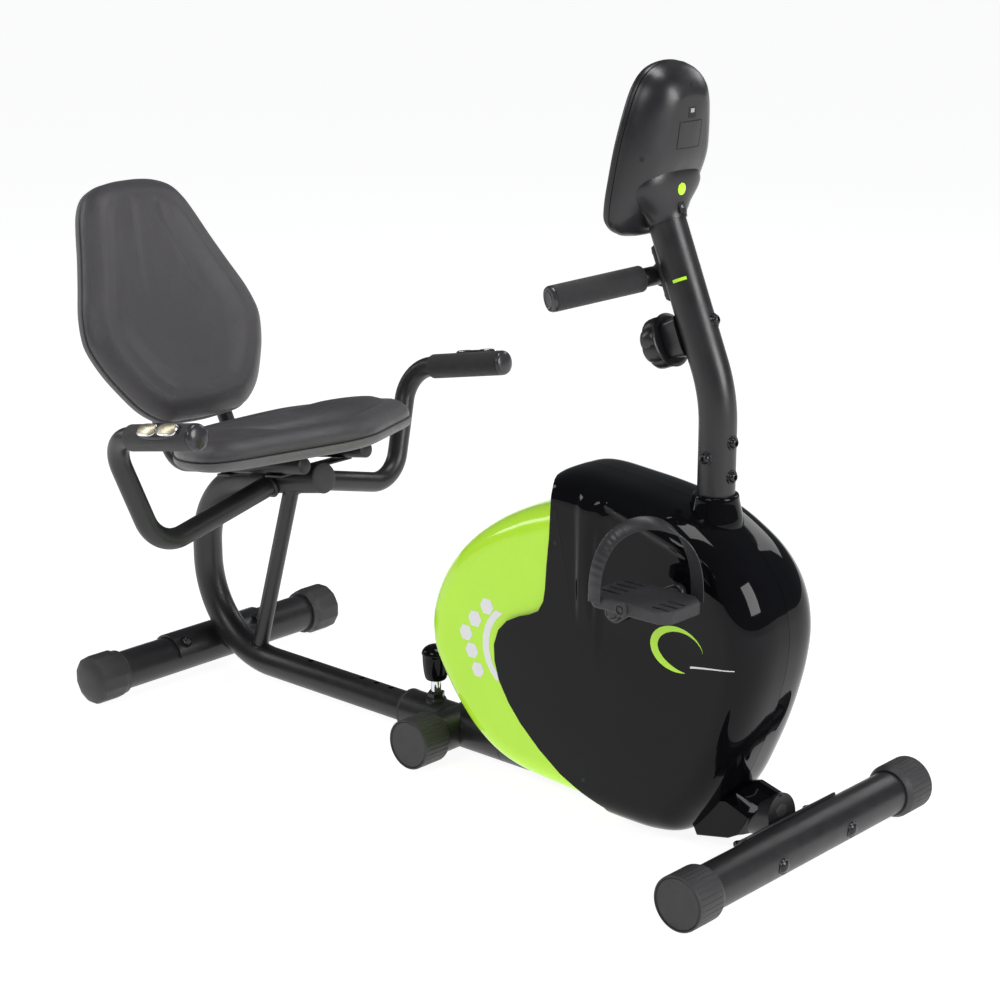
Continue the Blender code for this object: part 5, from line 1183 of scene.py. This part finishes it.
def neck_spot(neck, centre):
    """The place on the fairing's outer face level with a point on the post's centre line."""
    hit, spot, normal, _ = neck.ray_cast(centre - POST_FACE * 0.12, POST_FACE)
    return (spot, normal) if hit else (centre - POST_FACE * 0.03, -POST_FACE)


def surface_spot(matrix, x, y):
    """A spot on the console's back, with the way out of it."""
    v = matrix @ Vector((x, y, 0.2))
    inward = (matrix.to_3x3() @ Vector((0.0, 0.0, -1.0))).normalized()
    shell = bpy.data.objects["console_shell"]
    hit, place_, normal, _ = shell.ray_cast(v, inward)
    return (place_, normal) if hit else (matrix @ Vector((x, y, 0.055)), -inward)


def build_console_details(matrix):
    """The battery door in its seam, the shell's screw holes and the latch, all laid on the shell; the seam,
    the holes and the latch slot are near-black pieces of painted shade.
    """
    low, high = (-0.0215, -0.099), (0.0215, -0.0655)
    verts = []
    parts = 12
    for j in range(parts + 1):
        for i in range(parts + 1):
            x = low[0] + (high[0] - low[0]) * i / parts
            y = low[1] + (high[1] - low[1]) * j / parts
            spot, normal = surface_spot(matrix, x, y)
            verts.append(spot + normal * 0.0004)
    door = mesh_object("battery_cover", verts, grid_faces(parts + 1, parts + 1, False), 60.0)
    thicken(door, 0.0016)
    round_edges(door, 0.0005, 2)
    place(door, "door", "satin_black", nodes=("battery_door",))
    # The seam round the door is a thin near-black line of painted shade in the gap.
    rim = []
    outline = [(low[0], low[1]), (high[0], low[1]), (high[0], high[1]), (low[0], high[1])]
    for a, b in zip(outline, outline[1:] + outline[:1]):
        path = []
        for k in range(parts + 1):
            x = a[0] + (b[0] - a[0]) * k / parts
            y = a[1] + (b[1] - a[1]) * k / parts
            spot, normal = surface_spot(matrix, x * 1.02, (y + 0.082) * 1.02 - 0.082)
            path.append(spot + normal * 0.0001)
        rim.append(sweep("r", path, 0.00055, 8))
    place(merged("battery_seam", rim), "base", "satin_black", "painted_recess_shade")
    # The screw holes are near-black discs of painted shade, not cut into the shell.
    spots = (("shell_screw_top", 0.0, -0.0215, 0.0022), ("shell_screw_low_right", -0.066, -0.113, 0.003),
             ("shell_screw_low_left", 0.066, -0.113, 0.003))
    for name, x, y, radius in spots:
        spot, normal = surface_spot(matrix, x, y)
        profile = [(0.0, 0.0003), (radius, 0.0003), (radius, -0.003), (0.0, -0.003)]
        place(lathe(name, profile, spot, normal, 24), "base", "satin_black", "painted_recess_shade")
    # The latch slot is a near-black box of painted shade, with a metal tab in it.
    spot, normal = surface_spot(matrix, 0.0, -0.0545)
    along = (matrix.to_3x3() @ Vector((0.0, 1.0, 0.0))).normalized()
    across = along.cross(normal).normalized()
    slot_matrix = axes_matrix(spot, across, normal.cross(across), normal)
    place(box("latch_slot", (-0.0075, -0.007, -0.002), (0.0075, 0.007, 0.0004), 0.0006, slot_matrix),
          "base", "satin_black", "painted_recess_shade")
    place(box("latch_tab", (-0.004, 0.0, -0.001), (0.003, 0.0055, 0.0009), 0.0004, slot_matrix), "base",
          "zinc", "zinc")


def build_display(matrix):
    """The rider's side: bezel, display window and mode button."""
    bezel = []
    for x0, x1, y0, y1 in ((-0.044, 0.044, -0.034, -0.022), (-0.044, 0.044, -0.112, -0.1),
                           (-0.044, -0.034, -0.1, -0.034), (0.034, 0.044, -0.1, -0.034)):
        bezel.append(box("b", (x0, y0, -0.0056), (x1, y1, -0.003), 0.0008, matrix))
    place(merged("display_bezel", bezel), "base", "satin_black", "gloss_black")
    glass = box("display_pane", (-0.0335, -0.0975, -0.0046), (0.0335, -0.0365, -0.003), 0.0004, matrix)
    place(glass, "base", "display_glass", nodes=("display_window",))
    spot = matrix @ Vector((0.0, BUTTON_V, 0.0))
    way = (matrix.to_3x3() @ Vector((0.0, 0.0, -1.0))).normalized()
    profile = [(0.0, 0.0075), (0.003, 0.0074), (0.0058, 0.0068), (0.0072, 0.0055), (0.0074, 0.0027),
               (0.0, 0.0027)]
    place(lathe("mode_key", profile, spot, way, 40), "button", "shell_grey", "button_grey",
          nodes=("mode_button",))


# ---------------------------------------------------------------- casing
def W(points):
    return [(FRONT_X + u, z) for u, z in points]


GREEN_OUTLINE = W(((-0.33, 0.45), (-0.395, 0.427), (-0.45, 0.406), (-0.5, 0.379), (-0.545, 0.344),
                   (-0.58, 0.302), (-0.602, 0.258), (-0.61, 0.215), (-0.605, 0.176), (-0.585, 0.138),
                   (-0.556, 0.099), (-0.52, 0.064), (-0.478, 0.039), (-0.43, 0.026), (-0.37, 0.0205),
                   (-0.3, 0.0195), (-0.24, 0.04), (-0.2, 0.12), (-0.2, 0.25), (-0.23, 0.37),
                   (-0.275, 0.435)))
BLACK_OUTLINE = W(((-0.205, 0.466), (-0.25, 0.4725), (-0.3, 0.477), (-0.345, 0.48), (-0.372, 0.477),
                   (-0.392, 0.464), (-0.44, 0.42), (-0.5, 0.385), (-0.548, 0.35), (-0.585, 0.306),
                   (-0.607, 0.26), (-0.615, 0.215), (-0.61, 0.174), (-0.59, 0.135), (-0.56, 0.095),
                   (-0.523, 0.059), (-0.48, 0.034), (-0.43, 0.017), (-0.37, 0.0085), (-0.3, 0.0065),
                   (-0.24, 0.005), (-0.19, 0.0065), (-0.15, 0.018), (-0.117, 0.053), (-0.094, 0.086),
                   (-0.075, 0.126), (-0.057, 0.17), (-0.042, 0.217), (-0.032, 0.26), (-0.028, 0.302),
                   (-0.034, 0.342), (-0.05, 0.379), (-0.076, 0.41), (-0.11, 0.434), (-0.155, 0.456)))
SEAM = W(((-0.361, 0.52), (-0.3615, 0.446), (-0.365, 0.389), (-0.369, 0.35), (-0.371, 0.317),
          (-0.374, 0.299), (-0.383, 0.283), (-0.4, 0.274), (-0.419, 0.267), (-0.44, 0.256), (-0.456, 0.239),
          (-0.464, 0.216), (-0.463, 0.193), (-0.455, 0.166), (-0.437, 0.137), (-0.415, 0.112),
          (-0.38, 0.082), (-0.343, 0.057), (-0.306, 0.04), (-0.27, 0.026), (-0.25, -0.03)))
CASE_WALL = 0.0025
CASE_COUNT = 260      # points round the rim
CASE_REACH = 0.046    # width of the rounded shoulder
CASE_CROWN = 0.0015


def rounding(distance, reach):
    """How far out the side stands at a distance in from the rim, from 0 to 1."""
    if distance >= reach:
        return 1.0
    return (1.0 - (1.0 - distance / reach) ** 2.5) ** (1.0 / 3.0)


def black_relief(x, z):
    """How far the black cover's side is raised or sunk at a place."""
    u = x - FRONT_X
    upper = step(0.27, 0.35, z)
    ridge = step(-0.3175, -0.3115, u) * upper
    groove = bell(u, -0.288 + 0.01 * step(0.4, 0.46, z), 0.005) * upper
    lower = 0.452 - 0.3 * (u + 0.2778)
    dish = step(-0.286, -0.27, u) * (1.0 - step(lower - 0.003, lower + 0.005, z)) * step(0.2, 0.4, z)
    dish *= 1.0 - step(-0.17, -0.08, u)
    shoulder = bell(z, lower + 0.012, 0.01) * step(-0.286, -0.27, u) * (1.0 - step(-0.17, -0.09, u))
    return 0.0042 * ridge - 0.0042 * groove - 0.0056 * dish + 0.0018 * shoulder


def half_casing(name, outline, half_width, relief):
    """One side cover as a fine open surface, rim to middle."""
    count, reach, crown = CASE_COUNT, CASE_REACH, CASE_CROWN
    ring = smooth_closed(outline, count)
    centre = (sum(p[0] for p in ring) / count, sum(p[1] for p in ring) / count)
    rows = []
    for k in range(18):
        distance = reach * (k / 17.0) ** 1.8
        share = rounding(distance, reach)
        rows.append((inset(ring, distance), share, 0.0))
    edge = rows[-1][0]
    for k in range(1, 60):
        scale = 1.0 - k / 60.0
        rows.append(([(centre[0] + (x - centre[0]) * scale, centre[1] + (z - centre[1]) * scale) for x,
                      z in edge], 1.0, 1.0 - scale * scale))
    verts = []
    for points, share, inner in rows:
        for x, z in points:
            y = GAP + share * (half_width - GAP) + crown * inner + relief(x, z) * step(0.75, 1.0, share)
            verts.append((x, -y, z))
    faces = grid_faces(len(rows), count)
    faces.append(tuple(range((len(rows) - 1) * count, len(rows) * count)))
    obj = mesh_object(name, verts, faces, 60.0)
    bm = bmesh.new()
    bm.from_mesh(obj.data)
    side_face = max(bm.faces, key=lambda f: f.calc_area() if len(f.verts) > 4 else 0.0)
    if side_face.normal.y > 0.0:
        bmesh.ops.reverse_faces(bm, faces=bm.faces)
    bm.to_mesh(obj.data)
    bm.free()
    return thicken(obj, CASE_WALL)


def seam_prism(behind):
    """A tall block on one side of the seam, which bends back over the top of the hood."""
    half_gap = -0.0005 if behind else 0.0005
    rings = []
    for y in (-0.15, -0.085, -0.074, -0.062, -0.05, -0.038, -0.026, -0.013, 0.0, 0.02):
        back = 0.027 * (1.0 - min(1.0, abs(y) / 0.08) ** 2)
        edge = [(x + half_gap - back * step(0.4, 0.455, z), z) for x, z in SEAM]
        far = FRONT_X + (-0.75 if behind else 0.1)
        edge += [(far, -0.03), (far, 0.52)]
        rings.append([Vector((x, y, z)) for x, z in edge])
    return loft("prism", rings, 30.0)


def build_casing():
    tunnel_path = rounded_path([P(-0.8, 0, SLEEVE_Z), P(BEND_U, 0, SLEEVE_Z), P(0.02, 0, 0.0683)], [0.3], 8)
    green = half_casing("green_side_right", GREEN_OUTLINE, 0.0745, lambda x, z: 0.0)
    cut(green, seam_prism(False), angle=50.0)
    cut(green, sweep("tunnel", tunnel_path, 0.0315, 40), angle=50.0)
    place(green, "base", "gloss_green", nodes=("green_cover_right",))
    place(mirror_copy(green, "green_side_left"), "base", "gloss_green", nodes=("green_cover_left",))
    black = half_casing("black_side_right", BLACK_OUTLINE, 0.08, black_relief)
    cut(black, seam_prism(True), angle=50.0)
    cut(black, sweep("tunnel", tunnel_path, 0.0315, 40), angle=50.0)
    cut(black, sweep("hole", [P(POST_BASE_U, 0, 0.38), P(POST_BASE_U, 0, 0.52)], 0.0335, 48), angle=50.0)
    cut(black, sweep("hole", [P(-0.239, -0.2, 0.319), P(-0.239, 0.2, 0.319)], 0.013, 40), angle=50.0)
    place(black, "base", "gloss_black", nodes=("black_cover_right",))
    place(mirror_copy(black, "black_side_left"), "base", "gloss_black", nodes=("black_cover_left",))
    build_decals()


PRINT_LIFT = 0.00025


def side_spot(shell, x, z, sign):
    """A spot on a casing's side, with the way out of it."""
    hit, spot, normal, _ = shell.ray_cast(Vector((x, sign * 0.3, z)), Vector((0.0, -sign, 0.0)))
    if not hit:
        return Vector((x, sign * 0.08, z)), Vector((0.0, sign, 0.0))
    return spot, normal


def printed(name, shell, first, second, sign):
    """A thin printed film laid on a casing's side between two curves of (x, z) points."""
    verts = []
    across = 4
    for (x0, z0), (x1, z1) in zip(first, second):
        for k in range(across + 1):
            t = k / across
            spot, normal = side_spot(shell, x0 + (x1 - x0) * t, z0 + (z1 - z0) * t, sign)
            verts.append(spot + normal * PRINT_LIFT)
    faces = grid_faces(len(first), across + 1, False)
    return thicken(mesh_object(name, verts, faces, 60.0), 0.0002, 0.0)


def hexagon(u, z, radius):
    """The lower and the upper edge of a hexagon that stands on a side, left to right."""
    corners = [(FRONT_X + u + radius * math.cos(math.radians(60.0 * k)),
                z + radius * math.sin(math.radians(60.0 * k))) for k in range(6)]
    sides = []
    for order in ((3, 4, 5, 0), (3, 2, 1, 0)):
        line = []
        for a, b in zip(order, order[1:]):
            for k in range(5):
                t = k / 5
                line.append((corners[a][0] + (corners[b][0] - corners[a][0]) * t,
                             corners[a][1] + (corners[b][1] - corners[a][1]) * t))
        sides.append(line + [corners[0]])
    return sides


def build_decals():
    """Plain printed shapes, no lettering: dots on the green, a tapered arc and a line on the black."""
    for side, sign in SIDES:
        green = bpy.data.objects[f"green_side_{side}"]
        black = bpy.data.objects[f"black_side_{side}"]
        dots = []
        for u, z, r in ((-0.4825, 0.266, 0.0126), (-0.505, 0.243, 0.0128), (-0.522, 0.219, 0.0125),
                        (-0.511, 0.195, 0.0122), (-0.4997, 0.169, 0.0118)):
            low, high = hexagon(u, z, r)
            dots.append(printed("dot", green, low, high, sign))
        outer = arc((FRONT_X - 0.425, 0.213), 0.065, math.radians(128.0), math.radians(232.0), 26)
        inner = arc((FRONT_X - 0.418, 0.213), 0.06, math.radians(124.0), math.radians(236.0), 26)
        dots.append(printed("sliver", green, outer, inner, sign))
        place(merged(f"green_side_print_{side}", dots), "base", "gloss_green", "white_print")
        outer, inner = [], []
        steps = 48
        for k in range(steps + 1):
            t = k / steps
            angle = math.radians(6.0 + 284.0 * t)
            wide = 0.012 * math.sin(math.pi * t ** 1.5) ** 0.8 if 0 < k < steps else 0.0001
            outer.append((FRONT_X - 0.1475 + 0.0435 * math.cos(angle), 0.284 + 0.031 * math.sin(angle)))
            inner.append((FRONT_X - 0.1475 + (0.0435 - wide) * math.cos(angle),
                          0.284 + (0.031 - wide) * math.sin(angle)))
        place(printed(f"arc_print_{side}", black, outer, inner, sign), "base", "gloss_green", "green_print")
        upper, lower = [], []
        for k in range(25):
            t = k / 24
            x, z = FRONT_X - 0.125 + 0.068 * t, 0.265 + 0.0105 * t ** 0.85
            half = 0.0014 * (1.0 - 0.6 * t)
            upper.append((x, z + half))
            lower.append((x, z - half))
        place(printed(f"line_print_{side}", black, upper, lower, sign), "base", "gloss_black",
              "white_print")
        # The casing's screw holes are near-black discs of painted shade, not cut into the covers.
        holes = []
        for shell, u, z in ((black, -0.3546, 0.3851), (black, -0.3016, 0.06)):
            spot, normal = side_spot(shell, FRONT_X + u, z, sign)
            holes.append(lathe("hole", [(0.0, 0.0002), (0.003, 0.0002), (0.0034, -0.002), (0.0, -0.002)],
                               spot, normal, 24))
        place(merged(f"case_screws_{side}", holes), "base", "gloss_black", "painted_recess_shade")


# ---------------------------------------------------------------- crank, pedals and straps
CRANK = P(-0.239, 0.0, 0.319)
CRANK_ANGLE = math.radians(25.0)
CRANK_LENGTH = 0.11
CRANK_Y = 0.091


def pedal_tip(sign):
    return CRANK + Vector((math.cos(CRANK_ANGLE), 0.0, math.sin(CRANK_ANGLE))) * (-sign * CRANK_LENGTH)


def build_cranks():
    for side, sign in SIDES:
        tip = pedal_tip(sign)
        way = (tip - CRANK).normalized()
        heading = math.atan2(way.z, way.x)
        quarter = math.pi / 2.0
        outline = arc((CRANK.x, CRANK.z), 0.0165, heading + quarter * 0.93, heading + quarter * 3.07, 22)
        neck_a = CRANK + way * 0.03
        outline += [(neck_a.x + math.sin(heading) * 0.0105, neck_a.z - math.cos(heading) * 0.0105)]
        outline += arc((tip.x, tip.z), 0.0125, heading - quarter * 0.97, heading + quarter * 0.97, 22)
        outline += [(neck_a.x - math.sin(heading) * 0.0105, neck_a.z + math.cos(heading) * 0.0105)]
        arm = slab(f"crank_{side}", outline, 0.0104, side_matrix(sign * 0.0918), 0.0028, 4)
        out = Vector((0.0, sign, 0.0))
        centre = CRANK + out * CRANK_Y
        cap = lathe("cap", [(0.0, 0.0115), (0.0075, 0.0112), (0.0082, 0.0104), (0.0092, 0.0112),
                            (0.0118, 0.0104), (0.013, 0.0088), (0.013, 0.004), (0.0, 0.004)], centre, out,
                    48)
        eye = lathe("eye", [(0.0, 0.0085), (0.007, 0.0085), (0.0078, 0.0075), (0.0078, 0.004),
                            (0.0, 0.004)], tip + out * CRANK_Y, out, 40)
        hub = lathe("hub", [(0.0, 0.0), (0.015, 0.0), (0.0165, -0.0012), (0.0165, -0.0085), (0.0, -0.0085)],
                    centre, out, 40)
        place(merged(f"crank_piece_{side}", [arm, cap, eye, hub]), "crankset", "satin_black",
              nodes=(f"crank_arm_{side}",))
        build_pedal(side, sign, tip)


def rounded_polygon(corners, radii, steps=6):
    points = [Vector(c) for c in corners]
    outline = []
    for i, corner in enumerate(points):
        incoming = (corner - points[i - 1]).normalized()
        outgoing = (points[(i + 1) % len(points)] - corner).normalized()
        turn = incoming.angle(outgoing)
        reach = radii[i] * math.tan(turn / 2.0)
        start = corner - incoming * reach
        finish = corner + outgoing * reach
        centre = corner + (outgoing - incoming).normalized() * (radii[i] / math.cos(turn / 2.0))
        for k in range(steps + 1):
            spoke = (start - centre).lerp(finish - centre, k / steps)
            spot = centre + spoke.normalized() * radii[i]
            outline.append((spot.x, spot.y))
    return outline


def build_pedal(side, sign, tip):
    inner, outer = 0.113 * sign, 0.197 * sign
    low, high = tip.x - 0.066, tip.x + 0.066
    corners = [(low, inner + sign * 0.016), (low + 0.02, inner), (high - 0.02, inner),
               (high, inner + sign * 0.016), (high, outer - sign * 0.012), (high - 0.014, outer),
               (low + 0.014, outer), (low, outer - sign * 0.012)]
    outline = rounded_polygon(corners, [0.01, 0.01, 0.01, 0.01, 0.007, 0.007, 0.007, 0.007], 4)
    if sign > 0.0:
        outline.reverse()
    top = tip.z + 0.012
    plate = slab(f"pedal_plate_{side}", outline, 0.017, Matrix.Translation((0.0, 0.0, top - 0.0085)), 0.003,
                 4)
    plate = baked(plate)
    slots = []
    for start, end, rows in ((-0.057, -0.029, (0.128, 0.143, 0.158, 0.173)),
                             (0.034, 0.059, (0.155, 0.17, 0.185))):
        for y in rows:
            slot = arc((tip.x + end, sign * y), 0.0025, -math.pi / 2.0, math.pi / 2.0, 8)
            slot += arc((tip.x + start, sign * y), 0.0025, math.pi / 2.0, 1.5 * math.pi, 8)
            slots.append(slab("slot", slot, 0.04, Matrix.Translation((0.0, 0.0, top - 0.0085))))
    plate = cut(plate, merged("slots", slots), angle=40.0)
    out = Vector((0.0, sign, 0.0))
    spindle = sweep("spindle", [tip + out * 0.0865, tip + out * 0.13], 0.0056, 24)
    boss = lathe("boss", [(0.0, 0.0), (0.0085, 0.0), (0.0098, 0.001), (0.0098, 0.01), (0.0085, 0.011),
                          (0.0, 0.011)], tip + out * 0.1035, out, 32)
    rings = [(0.0, 0.003), (0.0034, 0.003), (0.004, 0.0018), (0.0056, 0.0018), (0.0062, 0.0032),
             (0.0088, 0.003), (0.01, 0.0018), (0.0102, -0.003), (0.0, -0.003)]
    cover = lathe("cover", rings, Vector((tip.x - 0.006, sign * 0.197, tip.z + 0.003)), out, 40)
    body = merged(f"pedal_piece_{side}", [plate, boss, cover])
    place(body, f"{side}_pedal", "pedal_grey", nodes=(f"pedal_{side}",))
    place(spindle, f"{side}_pedal", "zinc", "bolt_black")
    build_strap(side, sign, tip, top)


STRAP_RISE = 0.102
STRAP_HALF_WIDTH = 0.0098


def build_strap(side, sign, tip, top):
    """The strap over the shoe, outer rear to inner front, with ribs on its rear end."""
    rear = Vector((tip.x - 0.047, sign * 0.1995, top - 0.01))
    front = Vector((tip.x + 0.045, sign * 0.1095, top - 0.006))
    span = front - rear
    flat = Vector((span.x, span.y, 0.0)).normalized()
    middle = (rear + front) / 2.0
    half = span.length / 2.0
    rings = []
    steps = 120

    def arch(share):
        angle = math.pi * min(max(share, 0.0), steps) / steps
        rise = STRAP_RISE * max(math.sin(angle), 0.0) ** 0.75
        return flat * (-math.cos(angle) * half) + Vector((0.0, 0.0, rise))

    for k in range(steps + 1):
        angle = math.pi * k / steps
        spot = middle + arch(k)
        a, b = arch(k + 0.5), arch(k - 0.5)
        tangent = (a - b).normalized()
        lean = math.radians(35.0) * max(math.sin(angle), 0.0) ** 0.7
        wide = Vector((math.cos(lean), 0.0, -math.sin(lean)))
        wide = (wide - tangent * wide.dot(tangent)).normalized()
        out = wide.cross(tangent).normalized()
        outward = spot - (middle + Vector((0.0, 0.0, 0.03)))
        if out.dot(outward) < 0.0:
            out = -out
        rib = 0.0004 if k % 4 < 2 and k < 44 else 0.0
        t = 0.0022 + rib
        ring = []
        for sx, sz in ((-1, 0.25), (-0.82, 1.0), (0.82, 1.0), (1, 0.25), (1, -0.25), (0.82, 0.0),
                       (-0.82, 0.0), (-1, -0.25)):
            thickness = t if sz > 0.5 else (t * 0.5 if sz > 0 else -0.0002)
            ring.append(spot + wide * (STRAP_HALF_WIDTH * sx) + out * thickness)
        rings.append(ring)
    strap = loft(f"strap_{side}", rings, 35.0)
    place(strap, f"{side}_pedal", "matte_black", "strap_black", nodes=(f"foot_strap_{side}",))


# ---------------------------------------------------------------- assembly
def paint_hidden_nodes():
    """The drive inside the casing keeps its CAD solids."""
    for name, paint in (("crank_axle", "zinc"), ("crank_pulley", "matte_black"), ("flywheel", "cast_iron"),
                        ("flywheel_axle", "zinc"), ("drive_belt", "belt_rubber"), ("magnet_arm", "zinc")):
        paint_node(name, paint)


MATS.update(make_materials())
add_camera()
add_stage()
build_stabilisers()
build_frames()
build_handles()
build_pads()
build_pin()
build_post()
build_knob()
build_bar()
build_console()
build_casing()
build_cranks()
paint_hidden_nodes()
